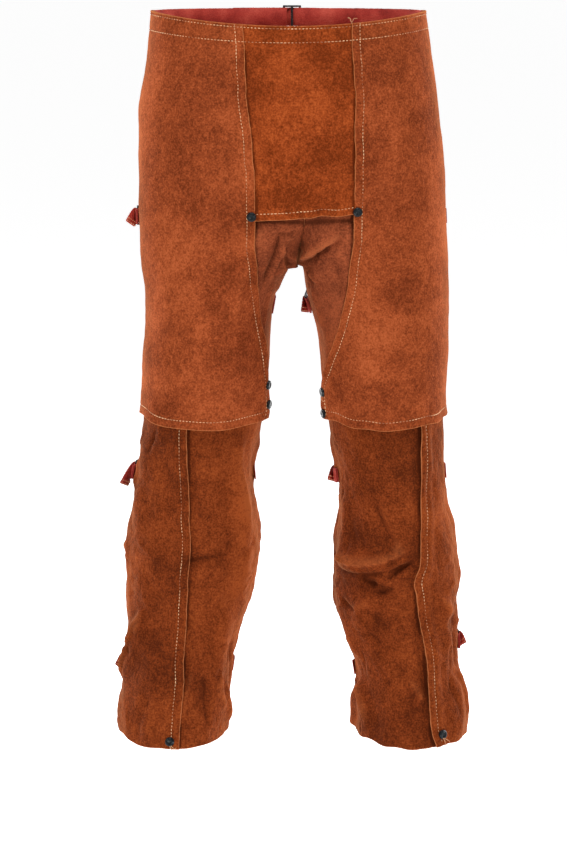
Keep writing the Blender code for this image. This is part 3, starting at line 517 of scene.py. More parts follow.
class Piece:
    """A leather piece on one leg, from one edge to another (functions of the level, in degrees)."""

    ANGLES = np.arange(-132.0, 133.0, 1.0)

    def __init__(self, leg, foot, start, end, lift, hem_wave, surface=None, trim=(0, 0), soot=None, hide=0):
        self.leg, self.foot, self.start, self.end, self.lift = leg, foot, start, end, lift
        self.hem_wave, self.trim, self.soot, self.hide = hem_wave, trim, soot, hide
        self.surface = surface or leg.body
        self.on_seam = start(WAIST_DROP) < ON_SEAM

    def patch(self, levels, across):
        """across(width) gives the distances from the start edge, for each row."""
        levels = np.atleast_1d(np.asarray(levels, float))
        angle, level = np.meshgrid(self.ANGLES, levels)
        points = self.surface(angle, self.leg.row_drop(level, angle))
        steps = np.linalg.norm(np.diff(points, axis=1), axis=2)
        reach = np.pad(np.cumsum(steps, axis=1), ((0, 0), (1, 0)))
        first = np.array([np.interp(a, self.ANGLES, r) for a, r in zip(self.start(levels), reach)])
        last = np.array([np.interp(a, self.ANGLES, r) for a, r in zip(self.end(levels), reach)])
        loose = self.trim[0] * (soft_step(*FREE_INSEAM, levels) if self.on_seam else 1.0)
        first = first + self.uneven("start", levels, loose)
        last = last + self.uneven("end", levels, self.trim[1])
        across = across(last - first)
        angle = np.array([np.interp(f + a, r, self.ANGLES) for f, a, r in zip(first, across, reach)])
        drop = self.leg.row_drop(levels[:, None], angle)
        near_foot = soft_step(70, 0, self.foot - levels)[:, None]
        drop = drop + self.hem_wave * near_foot * wave(angle * 1.5, 46, self.leg.seed + 3)
        down = np.broadcast_to(levels[:, None], angle.shape)
        rest = (last - first)[:, None] - across
        return Patch(angle, drop, across, rest, down - WAIST_DROP, self.foot - down)

    @staticmethod
    def uneven(edge, levels, swing):
        """How far scissors strayed along a cut."""
        long, short, seed = SCISSORS[edge]
        return swing * wave(levels, long, seed) + 0.3 * swing * wave(levels, short, seed + 1)

    def cut_share(self, patch):
        """0 where the edge is sewn shut on the centre seam, 1 elsewhere."""
        sewn = soft_step(-86, -88, patch.angle) * self.on_seam
        return 1 - sewn * (patch.drop < CROTCH_POINT)

    def points(self, patch, above):
        """Points so far above the piece's inner face."""
        return self.leg.place(patch.angle, patch.drop, self.lift(patch) + above, self.surface)

    def levels(self, top_marks, foot_marks, fine_zones=()):
        levels = graded(self.foot, top_marks, foot_marks)[0]
        for low, high in fine_zones:
            levels = levels[(levels < low) | (levels > high)]
            levels = np.sort(np.append(levels, np.arange(low, high, FINE_STEP)))
        return levels


# %% [markdown]
# ## Mesh objects
# Every piece below is worked out as rows of points, so a mesh is made from points and faces in one
# place, and the values that its material needs are stored on it by name.


# %% Mesh helpers
def add_object(name, data):
    item = bpy.data.objects.new(name, data)
    bpy.context.scene.collection.objects.link(item)
    return item


def mesh_of(name, points, faces=(), edges=()):
    mesh = bpy.data.meshes.new(name)
    mesh.from_pydata(np.asarray(points).tolist(), list(edges), list(faces))
    return mesh


def store(mesh, **fields):
    """Stores a number or a direction for each point of a mesh."""
    for label, values in fields.items():
        values = np.asarray(values, np.float32)
        kind, slot = ("FLOAT_VECTOR", "vector") if values.ndim == 2 else ("FLOAT", "value")
        mesh.attributes.new(label, kind, "POINT").data.foreach_set(slot, values.ravel())


def closed_mesh(name, points, faces):
    """A mesh object whose faces are turned outwards."""
    mesh = mesh_of(name, points, faces)
    build = bmesh.new()
    build.from_mesh(mesh)
    bmesh.ops.recalc_face_normals(build, faces=build.faces[:])
    build.to_mesh(mesh)
    build.free()
    mesh.shade_smooth()
    return add_object(name, mesh)


def unit(vectors):
    return vectors / np.linalg.norm(vectors, axis=-1, keepdims=True)


# %% [markdown]
# ## From sheets to a wall
# Leather shows its thickness at every cut edge, and its two faces are both rough. A Solidify modifier
# would do, but it would not round the cut or know which faces lie near it, so the two faces are made
# together, joined by a rounded rim, and each corner stores how close it lies to the cut.


# %% Closed wall mesh
def wall_mesh(name, outer, inner, near_cut, crest, hide, flip):
    """A closed wall between two sheets of points, with values for the material at each point."""
    rows, lines = outer.shape[:2]
    size = rows * lines
    index = np.arange(size).reshape(rows, lines)
    a, b, c, d = index[:-1, :-1], index[1:, :-1], index[1:, 1:], index[:-1, 1:]
    front = np.stack([a, b, c, d], axis=-1).reshape(-1, 4)
    back = size + front[:, ::-1]
    ring = np.concatenate([index[0], index[1:, -1], index[-1, -2::-1], index[-2:0:-1, 0]])
    rim = np.stack([ring, np.roll(ring, -1), size + np.roll(ring, -1), size + ring], axis=-1)
    faces = np.concatenate([front, back, rim])
    if flip:
        faces = faces[:, ::-1]
    points = np.concatenate([outer.reshape(-1, 3), inner.reshape(-1, 3)])
    mesh = mesh_of(name, points, faces.tolist())
    # Each point also stores the folds' painted shade and highlight, together with the painted shadows, and
    # the hide's tone.
    store(mesh, raw_edge=np.ravel([near_cut, near_cut]), crest=np.ravel(crest), hide=np.ravel([hide, hide]))
    mesh.shade_smooth()
    return add_object(name, mesh)


def cut_edge(patch, free):
    """Distance to the nearest free edge. free names them: start, end, top, foot."""
    sides = {"start": patch.from_start, "end": patch.from_end, "top": patch.from_top, "foot": patch.from_foot}
    distance = np.full(patch.angle.shape, 99.0)
    for name in free:
        distance = np.minimum(distance, sides[name])
    return distance


FULL_FOLD_SHADING = 6.0  # a fold of this height gets the full painted highlight, and a trough of this depth the darkest painted shade
BROAD_FOLD_SHADING = 0.4  # broad folds get less painted shade and highlight
FOLD_SHADING_LIMITS = (-1.6, 1.3)
CUT_ROUNDING, CUT_FADE = 0.5, 1.1  # how far from the cut the corners are rounded, and the pale fibres reach


def faces_of(piece, patch, free=("start", "end", "top", "foot")):
    """Outer and inner face, thinned towards the cut so that its corners are rounded."""
    cut = cut_edge(patch, free)
    rounding = bell(cut, CUT_ROUNDING) * piece.cut_share(patch)
    outer = piece.points(patch, LEATHER - 0.5 * rounding)
    inner = piece.points(patch, 0.35 * rounding)
    # Painted light from the folds: shade in their troughs and a highlight on their ridges, reversed on the
    # inner face.
    if piece.surface == piece.leg.apron:
        crest = 0 * cut
    else:
        crest = piece.leg.fold_height(patch.angle, patch.drop, BROAD_FOLD_SHADING) / FULL_FOLD_SHADING
    # The piece's painted shadow makes its outer face darker where shade falls.
    soot = piece.soot(patch) if piece.soot else 0.0
    crest = np.stack([np.clip(side, *FOLD_SHADING_LIMITS) for side in (crest - soot, -crest)])
    hide = piece.hide + 0 * cut
    if piece.foot > KNEE_DROP:
        hide = hide * soft_step(450, 560, patch.drop)
    return outer, inner, np.exp(-cut / CUT_FADE), crest, hide


def groove(distance, line, depth=0.7, width=1.5):
    """How far a row of stitches pulls the leather in."""
    return -depth * bell(distance - line, width)


Cut = namedtuple("Cut", "width length area")  # the size of a piece before it is sewn
items, cuts = {}, {}


def make_piece(name, piece, levels, start_marks, end_marks, step=STEP):
    patch = piece.patch(levels, lambda width: graded(width, start_marks, end_marks, step))
    item = wall_mesh(name, *faces_of(piece, patch), piece.leg.sign < 0)
    width = patch.from_start[:, -1]
    items[name] = item
    cuts[name] = Cut(width.max() * MM, (levels[-1] - levels[0]) * MM, np.trapz(width, levels) * MM * MM)
    print(f"{name}: {len(item.data.polygons)} faces, {cuts[name].area:.3f} square metres")


# %% [markdown]
# ## Leg panels
# The inner leg panel runs from the centre seam round the inside of the leg, and below the fly its free
# edge lies behind. The outer leg panel laps over it on the shin, with one row of stitches; above the
# knee, under the thigh panel, the two only meet. A piece's lift says how far its inner face lies off
# the leg's surface, and its painted shadow where shade is painted into its colour.

# %% Edges and layers of the leg panels
SEAM_WIGGLE, WIGGLE_DROP, WIGGLE_LENGTH = 6.5, 752, 15  # the right shin's seam is drawn in under a bag
VALLEY, VALLEY_AT_HEM, VALLEY_WIDTH = 1.6, 1.8, 5.0  # beside the lap's edge
HOLLOW = 2.5  # the inner panels sink behind the flap's hem, which leaves a dark gap
RIDGE, CURL, FULLNESS = 1.6, 1.6, 0.6  # the lap swells between its stitches and its edge, which curls up
# Strengths of the shadow painted beside the lap's edge, on the centre seam and beside the thigh panel.
LAP_PAINTED_SHADOW, SEAM_PAINTED_SHADOW, PANEL_PAINTED_SHADOW = 1.35, 1.2, 1.1
HEM_SLANT = 0.06  # the flap's hem rises towards one side


def shin_angle(leg, level, beyond=0.0):
    """The angle of the shin seam, or of a line some millimetres beyond it."""
    drawn_in = SEAM_WIGGLE * (leg.sign > 0) * bell(level - WIGGLE_DROP, WIGGLE_LENGTH)
    angle = leg.angle_at(leg.outline["shin_edge"](level) - drawn_in, level)
    return angle + np.degrees(beyond / leg.oval(level)[1])


def inner_lift(patch):
    """Under the thigh panel, with a valley beside the lap's edge that deepens towards the hem."""
    depth = VALLEY + VALLEY_AT_HEM * soft_step(760, 830, patch.drop) + 0.6 * wave(patch.drop, 90, 53)
    valley = depth * bell(patch.from_end - LAP - 4.5, VALLEY_WIDTH) * soft_step(500, 540, patch.drop)
    under_flap = HOLLOW * soft_step(226, 256, patch.drop) * soft_step(320, 280, patch.drop)
    under_flap = under_flap * soft_step(-86, -70, patch.angle) * soft_step(0, -14, patch.angle)
    return -LEATHER - valley - under_flap


def inner_soot(patch, leg):
    """Painted shadow beside the lap's edge, under the flap's hem, on the centre seam and beside the thigh
    panel.
    """
    beside_lap = LAP_PAINTED_SHADOW * bell(patch.from_end - LAP - 1.0, 1.9) * soft_step(530, 545, patch.drop)
    beside_lap = beside_lap * (1 + 0.5 * wave(patch.drop, 60, 54))
    below_hem = patch.drop - (FLAP_DROP + 2 - HEM_SLANT * patch.angle)
    under_hem = 0.5 * bell(below_hem, 7.0) + 0.9 * bell(below_hem, 2.6)
    on_seam = SEAM_PAINTED_SHADOW * bell(patch.from_start, 1.6) * (patch.drop < CROTCH_POINT)
    to_panel = leg.outline["thigh_edge"](patch.drop) - leg.leg_point(patch.angle, patch.drop)[..., 0]
    beside_panel = PANEL_PAINTED_SHADOW * bell(to_panel - 0.6, 1.8) * (patch.angle < 0) * (patch.drop < KNEE_DROP)
    return beside_lap + on_seam + beside_panel + under_hem * (patch.angle < 0)


def outer_lift(patch):
    """On the inner panel along the lap, and down to its level beyond. Above the knee the two only meet."""
    ridge = RIDGE * bell(patch.from_start - 0.45 * SEAM, 3.2) * (1 + 0.4 * wave(patch.drop, 60, 51))
    curl = (CURL + 0.8 * wave(patch.drop, 70, 52)) * np.exp(-patch.from_start / 2.4)
    puff = FULLNESS + groove(patch.from_start, SEAM, 0.9, 1.8) + ridge + np.maximum(curl, 0.0)
    beyond = soft_step(LAP + 1.5, LAP + STEP_DOWN + 4, patch.from_start)
    laps = soft_step(LAP_HIGH, LAP_LOW, patch.from_top)
    return mix(-LEATHER, mix(LAP_GAP + puff, -LEATHER, beyond), laps)


# %% [markdown]
# ## Making the leg panels
# Each is cut to its hide: the four hides differ a little in shade. The mesh of the inner panels is
# finer where the creases crowd, at the crotch and on the shin.

# %% Inner and outer leg panels
SHADES = {"inner_left": 0.04, "outer_left": -0.025, "inner_right": -0.075, "outer_right": 0.06}
CROWDED = {"left": [(252, 370), (690, 800)], "right": [(252, 370), (700, 850)]}
INNER_STEP = 2.1
leg_pieces = {}
for side, leg in legs.items():
    inner = Piece(
        leg,
        HEM_DROP,
        lambda level, leg=leg: -leg.outline["wrap_in"](level) + 0.6 * soft_step(352, 333, level),
        lambda level, leg=leg: shin_angle(leg, level, mix(9.0, LAP, soft_step(500, 520, level))),
        inner_lift,
        hem_wave=1.2,
        trim=(0.8, 0.0),
        # the inner panel's colour carries painted shadow
        soot=lambda patch, leg=leg: inner_soot(patch, leg),
        hide=SHADES[f"inner_{side}"],
    )
    levels = inner.levels(PLAIN_MARKS, PLAIN_MARKS, CROWDED[side])
    make_piece(f"inner_leg_{side}", inner, levels, PLAIN_MARKS, PLAIN_MARKS, INNER_STEP)
    outer = Piece(
        leg,
        HEM_DROP,
        lambda level, leg=leg: shin_angle(leg, level, 9.5 * soft_step(512, 496, level)),
        leg.outline["wrap_out"],
        outer_lift,
        hem_wave=1.2,
        trim=(0.5, 1.0),
        hide=SHADES[f"outer_{side}"],
    )
    make_piece(f"outer_leg_{side}", outer, outer.levels(PLAIN_MARKS, PLAIN_MARKS), EDGE_MARKS, PLAIN_MARKS)
    leg_pieces[side] = {"inner": inner, "outer": outer}

# %% [markdown]
# ## Thigh panels
# A second layer takes the sparks in front. It is sewn down along its inner edge, at the waist and round
# its foot just above the knee, where the hem stands off the leg and throws a shadow.


# %% Thigh panels
THIGH_SHADE, FLAP_SHADE = -0.035, -0.04
THIGH_FLARE, HEM_FLARE = 1.6, 3.0  # how far the panel stands off the leg low down, and at its hem
THIGH_FULLNESS, FLAP_FULLNESS = 0.75, 0.5


def waist_grooves(patch):
    """Two rows of stitches hold the belt inside the waist edge."""
    return groove(patch.from_top, WAIST_SEAMS[0]) + groove(patch.from_top, WAIST_SEAMS[1])


def thigh_lift(patch):
    """Over the flap's tucked side and the lap, standing off the leg at its hem."""
    over_lap = (LEATHER + LAP_GAP + 1.0) * soft_step(400, 462, patch.drop)
    over_flap = LAYER * soft_step(TUCK + STEP_DOWN, TUCK, patch.from_start)
    over_flap = over_flap * soft_step(FLAP_DROP + 24, FLAP_DROP + 3, patch.drop)
    flare = THIGH_FLARE * soft_step(505, 545, patch.drop) + HEM_FLARE * soft_step(34, 4, patch.from_foot)
    flare = flare * (1 + 0.25 * wave(patch.angle, 40, 31)) * mix(1.0, 0.1, soft_step(45, 80, patch.angle))
    puff = THIGH_FULLNESS + groove(patch.from_start, SEAM) + groove(patch.from_foot, SEAM)
    puff = puff + waist_grooves(patch)
    curl = (0.9 + 0.5 * wave(patch.drop, 55, 41)) * np.exp(-patch.from_start / 3.5)
    curl = curl + 0.8 * np.exp(-patch.from_foot / 3.0)
    return GAP + np.maximum(over_lap, over_flap) + flare + np.maximum(puff, 0.0) + np.maximum(curl, 0.0)


for side, leg in legs.items():
    thigh = Piece(
        leg,
        KNEE_DROP,
        leg.panel_angle,
        lambda level, leg=leg: leg.outline["wrap_out"](level) + 0.2,
        thigh_lift,
        hem_wave=1.0,
        trim=(0.6, 0.8),
        hide=THIGH_SHADE,
    )
    levels = thigh.levels(WAIST_MARKS, EDGE_MARKS)
    make_piece(f"thigh_guard_{side}", thigh, levels, EDGE_MARKS, PLAIN_MARKS)
    leg_pieces[side]["thigh"] = thigh

# %% [markdown]
# ## The fly flap
# An apron over the fly, hemmed at its foot and caught under both thigh panels. It hangs straight from
# the hips, so it follows a surface of its own and leaves a dark hollow above the crotch.


# %% Flap
FLAP_MIDDLE = -88.6  # the angle of the flap's middle line
UNDER_PANEL = 0.85 * TUCK


def flap_lift(patch):
    """It drapes a little and its hem stands forwards, except where the thigh panels hold it."""
    drape = 0.5 * ripple(patch.angle * 1.2, patch.drop, 60, 77) * soft_step(0, 60, patch.from_top)
    drape = drape * soft_step(4, 30, patch.from_end)
    hem = HEM_FLARE * soft_step(36, 2, patch.from_foot) * (1 + 0.3 * wave(patch.angle, 50, 78))
    puff = FLAP_FULLNESS + groove(patch.from_foot, SEAM - 2) + waist_grooves(patch)
    swell = (hem + np.maximum(puff, 0.0)) * soft_step(0, 14, patch.from_end)
    return GAP + 0.5 + np.maximum(drape, -0.5) + swell


def flap_soot(patch):
    """Painted shadow along both thigh panels."""
    beside_panel = 1.15 * bell(patch.from_end - UNDER_PANEL - 0.8, 1.9)
    return beside_panel * (1 + 0.35 * wave(patch.drop, 60, 79)) * soft_step(18, 34, patch.from_top)


flap_sheets = []
for side, leg in legs.items():
    flap = Piece(
        leg,
        FLAP_DROP,
        lambda level: FLAP_MIDDLE + 0 * level,
        lambda level, leg=leg: leg.panel_angle(level) + np.degrees(UNDER_PANEL / leg.oval(level)[1]),
        flap_lift,
        hem_wave=0.8,
        surface=leg.apron,
        soot=flap_soot,
    )
    leg_pieces[side]["flap"] = flap
    levels = flap.levels(WAIST_MARKS, EDGE_MARKS)
    patch = flap.patch(levels, lambda width: graded(width, (0, 2), PLAIN_MARKS))
    flap_sheets.append((faces_of(flap, patch, ("end", "top", "foot")), patch))
(left_faces, left_patch), (right_faces, right_patch) = flap_sheets
outer_face, inner_face, near_cut = (
    np.concatenate([left[:, ::-1], right[:, 1:]], axis=1)
    for left, right in zip(left_faces[:3], right_faces[:3])
)
# The flap has no folds, so its stored shading is only the painted shadow along the thigh panels.
crest = np.concatenate([left_faces[3][:, :, ::-1], right_faces[3][:, :, 1:]], axis=2)
shade = FLAP_SHADE + 0 * near_cut
items["apron_flap"] = wall_mesh("apron_flap", outer_face, inner_face, near_cut, crest, shade, False)
widths = [patch.from_start[:, -1] for patch in (left_patch, right_patch)]
flap_width = sum(width.max() for width in widths) * MM
flap_area = sum(np.trapz(width, levels) for width in widths) * MM * MM
cuts["apron_flap"] = Cut(flap_width, FLAP_DROP * MM, flap_area)
print(f"apron_flap: {flap_width:.3f} metres wide, {flap_area:.3f} square metres")

# %% [markdown]
# ## Node sums as Python sums
# A node tree is hard to read as code. A small class wraps a socket, so that `mask * 0.5 + noise` adds
# the Math nodes by itself, and a builder adds nodes of any kind to a material or a geometry tree.
# Colours go through Mix nodes, because a Math node turns them grey.


# %% Node builders
class Signal:
    """A socket in a node tree, on which Python's operators work if it is a number."""

    def __init__(self, builder, socket):
        self.builder, self.socket = builder, socket

    def _sum(self, operation, first, second):
        return self.builder.node("ShaderNodeMath", {"operation": operation}, {0: first, 1: second})

    def __add__(self, other):
        return self._sum("ADD", self, other)

    def __sub__(self, other):
        return self._sum("SUBTRACT", self, other)

    def __rsub__(self, other):
        return self._sum("SUBTRACT", other, self)

    def __mul__(self, other):
        return self._sum("MULTIPLY", self, other)

    __radd__ = __add__
    __rmul__ = __mul__


class Builder:
    """Adds nodes to a tree. An input that is given a Signal is linked, and any other is set."""

    def node(self, kind, settings=None, inputs=None, output=0):
        made = self.tree.nodes.new(kind)
        for name, value in (settings or {}).items():
            setattr(made, name, value)
        self.fill(made.inputs, inputs or {})
        return Signal(self, made.outputs[output])

    def add(self, kind, settings=None, output=0, **inputs):
        """The same with inputs that are called by their names, with underscores for spaces."""
        named = {name.replace("_", " "): value for name, value in inputs.items()}
        return self.node(kind, settings, named, output)

    def fill(self, sockets, values):
        for name, value in values.items():
            if isinstance(value, Signal):
                self.tree.links.new(value.socket, sockets[name])
            else:
                sockets[name].default_value = value


class Paint(Builder):
    """A material under construction."""

    def __init__(self, name):
        self.material = bpy.data.materials.new(name)
        self.material.use_nodes = True
        self.tree = self.material.node_tree
        self.where = self.node("ShaderNodeTexCoord", output=3)

    def noise(self, scale, detail=2.0, roughness=0.5, distortion=0.0, where=None):
        pattern = {"Scale": scale, "Detail": detail, "Roughness": roughness, "Distortion": distortion}
        return self.node("ShaderNodeTexNoise", {}, {"Vector": where or self.where, **pattern})

    def stored(self, name):
        """A value that is stored on the mesh."""
        return self.node("ShaderNodeAttribute", {"attribute_name": name}, output=2)

    def ramp(self, value, stops):
        colour = self.node("ShaderNodeValToRGB", {}, {0: value})
        elements = colour.socket.node.color_ramp.elements
        while len(elements) < len(stops):
            elements.new(0.5)
        for element, (place, tint) in zip(elements, stops):
            element.position, element.color = place, (*tint, 1.0)
        return colour

    def between(self, value, low, high):
        """0 at low, 1 at high, clamped."""
        inputs = {0: value, 1: low, 2: high, 3: 0.0, 4: 1.0}
        return self.node("ShaderNodeMapRange", {"interpolation_type": "SMOOTHSTEP"}, inputs)

    def blend(self, share, first, second):
        """From the first colour to the second, each a Signal or three numbers."""
        colours = [side if isinstance(side, Signal) else (*side, 1.0) for side in (first, second)]
        inputs = {0: share, 6: colours[0], 7: colours[1]}
        return self.node("ShaderNodeMix", {"data_type": "RGBA", "blend_type": "MIX"}, inputs, output=2)

    def bump(self, height, distance, strength=1.0, **normal):
        return self.add("ShaderNodeBump", Height=height, Distance=distance, Strength=strength, **normal)

    def feed(self, **sockets):
        """Fills the shader's sockets and returns the material."""
        named = {name.replace("_", " "): value for name, value in sockets.items()}
        self.fill(self.tree.nodes["Principled BSDF"].inputs, named)
        return self.material


class NodeTree(Builder):
    """A Geometry Nodes tree under construction, with named inputs."""

    def __init__(self, name, inputs):
        self.tree = bpy.data.node_groups.new(name, "GeometryNodeTree")
        face = self.tree.interface
        face.new_socket("Geometry", in_out="INPUT", socket_type="NodeSocketGeometry")
        face.new_socket("Geometry", in_out="OUTPUT", socket_type="NodeSocketGeometry")
        self.sockets = {}
        for label, kind in inputs.items():
            socket = face.new_socket(label, in_out="INPUT", socket_type=f"NodeSocket{kind}")
            self.sockets[label] = socket.identifier
        self.start = self.tree.nodes.new("NodeGroupInput")
        self.end = self.tree.nodes.new("NodeGroupOutput")

    def input(self, label):
        return Signal(self, self.start.outputs[label])

    def stored(self, name):
        """A direction that is stored on the mesh."""
        return self.add("GeometryNodeInputNamedAttribute", {"data_type": "FLOAT_VECTOR"}, Name=name)

    def aligned(self, first_axis, first, second_axis, second):
        """A turn whose first axis follows one direction, and whose second turns to face another."""
        turn = self.add("FunctionNodeAlignRotationToVector", {"axis": first_axis}, Vector=first)
        settings = {"axis": second_axis, "pivot_axis": first_axis}
        return self.add("FunctionNodeAlignRotationToVector", settings, Rotation=turn, Vector=second)

    def varied(self, low, high):
        """Three numbers at random for each piece that is laid."""
        kind = {"data_type": "FLOAT_VECTOR"}
        return self.add("FunctionNodeRandomValue", kind, Min=low, Max=high, Seed=self.input("Seed"))

    def finish(self, geometry):
        real = self.add("GeometryNodeRealizeInstances", Geometry=geometry)
        painted = self.add("GeometryNodeSetMaterial", Geometry=real, Material=self.input("Material"))
        self.tree.links.new(painted.socket, self.end.inputs[0])
        return self

    def bake(self, source, name, values):
        """Runs the tree on a source object and returns the result as a plain mesh object."""
        modifier = source.modifiers.new(self.tree.name, "NODES")
        modifier.node_group = self.tree
        for label, value in values.items():
            modifier[self.sockets[label]] = value
        graph = bpy.context.evaluated_depsgraph_get()
        graph.update()
        mesh = bpy.data.meshes.new_from_object(source.evaluated_get(graph))
        source.modifiers.remove(modifier)
        bpy.data.objects.remove(source)
        mesh.name = name
        print(f"{name}: {len(mesh.polygons)} faces")
        return add_object(name, mesh)


# %% [markdown]
# ## Split leather
# The split side of a hide is a felt of fibres. Dye takes unevenly, so it is cloudy at the size of a
# hand, blotchy at the size of a coin and speckled at the size of a grain, with streaks where the nap
# was brushed down the leg. Light catches the fibre ends at a glancing angle, which is what sheen is
# for. The cut edge is paler, because the dye never reached it.


# %% Leather finish
FADED_HEIGHT = (-0.52, -0.38)  # between these heights, in metres, the lower leather turns paler upwards
PALER = [(0.3, 0.62), (0.5, 1.0), (0.7, 1.38)]  # the faded ramp: place and strength


def split_leather(name, dark, middle, light, cut, faded=None):
    paint = Paint(name)
    cloud = paint.noise(11, 2.0, 0.5, 0.5)
    blotch = paint.noise(48, 1.5, 0.5, 1.0)
    combed = paint.add("ShaderNodeMapping", Vector=paint.where, Scale=(1.0, 1.0, 0.7))
    brushed = paint.noise(210, 1.0, where=combed)
    grain = paint.noise(420, 1.0, 0.6)
    # The stored fold shading: below zero it is painted shade in troughs and painted shadows, above zero a
    # painted highlight on ridges.
    crest = paint.stored("crest")
    tone = 0.5 + (cloud - 0.5) * 0.7 + (blotch - 0.5) * 0.32 + (brushed - 0.5) * 0.3 + (grain - 0.5) * 0.75
    # Painted light and shade from the folds shift the tone, and each hide adds its own tone.
    tone = tone + crest * 0.12 + paint.stored("hide")
    colour = paint.ramp(tone, [(0.26, dark), (0.5, middle), (0.74, light)])
    stain = paint.between(paint.noise(24, 3.0, 0.55, 1.2), 0.60, 0.74)
    colour = paint.blend(stain * 0.22, colour, [c * 0.8 for c in dark])
    if faded:
        height = paint.add("ShaderNodeSeparateXYZ", output=2, Vector=paint.where)
        worn = paint.ramp(tone, [(place, [c * strength for c in faded]) for place, strength in PALER])
        colour = paint.blend(paint.between(height, *FADED_HEIGHT) * 0.36, colour, worn)
    # Painted shade: troughs and painted shadows turn towards a darker brown.
    sooty = paint.between(crest, -0.15, -1.3)
    colour = paint.blend(sooty * 0.62, colour, [c * 0.55 for c in dark])
    # Painted highlight: fold ridges turn towards the paler colour of the raw cut.
    painted_ridge_highlight = paint.between(crest, 0.3, 1.3)
    colour = paint.blend(painted_ridge_highlight * 0.14, colour, cut)
    rubbed = paint.between(paint.stored("raw_edge") + brushed * 0.5, 0.55, 1.05)
    colour = paint.blend(rubbed * 0.75, colour, cut)
    nap = paint.bump(blotch * 0.5 + brushed * 0.5, 0.0016, 0.4)
    return paint.feed(
        Base_Color=colour,
        Roughness=0.95,
        Normal=paint.bump(grain * 0.6 + brushed * 0.4, 0.0010, 0.9, Normal=nap),
        Sheen_Weight=0.28,
        Sheen_Roughness=0.3,
        Sheen_Tint=(1.0, 0.42, 0.16, 1.0),
        Specular_IOR_Level=0.03,
    )


LEATHERS = {
    # dark, middle and light dye, then the raw cut
    "upper": [(0.130, 0.024, 0.0066), (0.255, 0.051, 0.0142), (0.385, 0.088, 0.027), (0.46, 0.15, 0.05)],
    "flap": [(0.126, 0.021, 0.0040), (0.248, 0.044, 0.0088), (0.375, 0.077, 0.017), (0.46, 0.15, 0.05)],
    "lower": [(0.076, 0.014, 0.0036), (0.16, 0.0295, 0.0066), (0.262, 0.054, 0.0122), (0.47, 0.155, 0.055)],
}
FADED = {"lower": (0.30, 0.079, 0.038)}  # near the crotch the lower leather is rubbed paler
finishes = {
    name: split_leather(f"suede_{name}_leather", *dyes, FADED.get(name)) for name, dyes in LEATHERS.items()
}
WEARS = {"thigh": "upper", "apron": "flap"}  # the leg panels are of the lower leather
for name, item in items.items():
    item.data.materials.append(finishes[WEARS.get(name.split("_")[0], "lower")])
print(f"{len(finishes)} leathers")

# %% [markdown]
# ## Stitches
# Each seam is a row of lockstitches in heavy thread. The rows are lines on the leather, and a Geometry
# Nodes tree walks along them and lays a stitch every few millimetres: a short thread whose ends dip
# into the leather. Modelling one and arraying it along a curve would lose the surface's direction.


# %% Stitch rows
THREAD = 0.55  # radius of the thread as it lies
PITCH = 4.6  # stitches of a heavy needle
STITCH = 0.76 * PITCH


def thread_line(piece, patch, sunk):
    """Points for a row of stitches, with the directions that lead away from the leather."""
    return (
        piece.points(patch, LEATHER + THREAD * 0.3 + sunk),
        piece.leg.away(patch.angle, patch.drop, piece.surface),
    )


def sample(piece, levels, distance, deeper=0.0):
    """A line down a piece, at a distance from its start edge."""
    patch = piece.patch(levels, lambda width: np.full((len(width), 1), float(distance)))
    line, away = thread_line(piece, patch, 0.22 * wave(patch.drop, 34, 61) - deeper)
    return line[:, 0], away[:, 0]


def crossing(piece, level, start_gap, end_gap, spacing=4.0, fading=0.0):
    """A line round a piece at one level, which may fade into the nap towards its ends."""

    def across(width):
        count = max(int(width[0] / spacing), 8)
        return np.linspace(start_gap, width[0] - end_gap, count)[None, :]

    patch = piece.patch([level], across)
    near_end = soft_step(75, 10, np.minimum(patch.from_start, patch.from_end))
    line, away = thread_line(piece, patch, 0.22 * wave(patch.from_start, 34, 62) - fading * near_end)
    return line[0], away[0]


rows_of_stitches = []
for side in ("left", "right"):
    thigh, outer, flap = (leg_pieces[side][name] for name in ("thigh", "outer", "flap"))
    rows_of_stitches.append(sample(thigh, np.arange(2.0, KNEE_DROP - 2, 5.0), SEAM))
    rows_of_stitches.append(crossing(thigh, KNEE_DROP - SEAM, 3, 3, fading=0.42))
    for drop in WAIST_SEAMS:
        rows_of_stitches.append(crossing(thigh, drop, 2, 3))
        rows_of_stitches.append(crossing(flap, drop, 0.0, TUCK))
    rows_of_stitches.append(crossing(flap, FLAP_DROP - SEAM + 2, 0.0, TUCK))
    shin = np.arange(KNEE_DROP - 14, HEM_DROP - 3, 5.0)
    rows_of_stitches.append(sample(outer, shin, SEAM, 0.1 * (side == "right")))
print(f"{len(rows_of_stitches)} rows of stitches")

# %% [markdown]
# ## The stitch tree
# One thread is bent so that its ends sink, made into a tube that is plump in the middle, and laid on
# every point of a row. It follows the row, faces away from the leather, and varies a little.


# %% The stitch tree
def chain_object(name, chains):
    """Edges through each row's points, with the outward direction stored as `up`."""
    points, ups, edges = [], [], []
    for line, away in chains:
        first = len(points)
        points += line.tolist()
        ups += away.tolist()
        edges += [(i, i + 1) for i in range(first, len(points) - 1)]
    mesh = mesh_of(name, points, edges=edges)
    store(mesh, up=ups)
    return add_object(name, mesh)


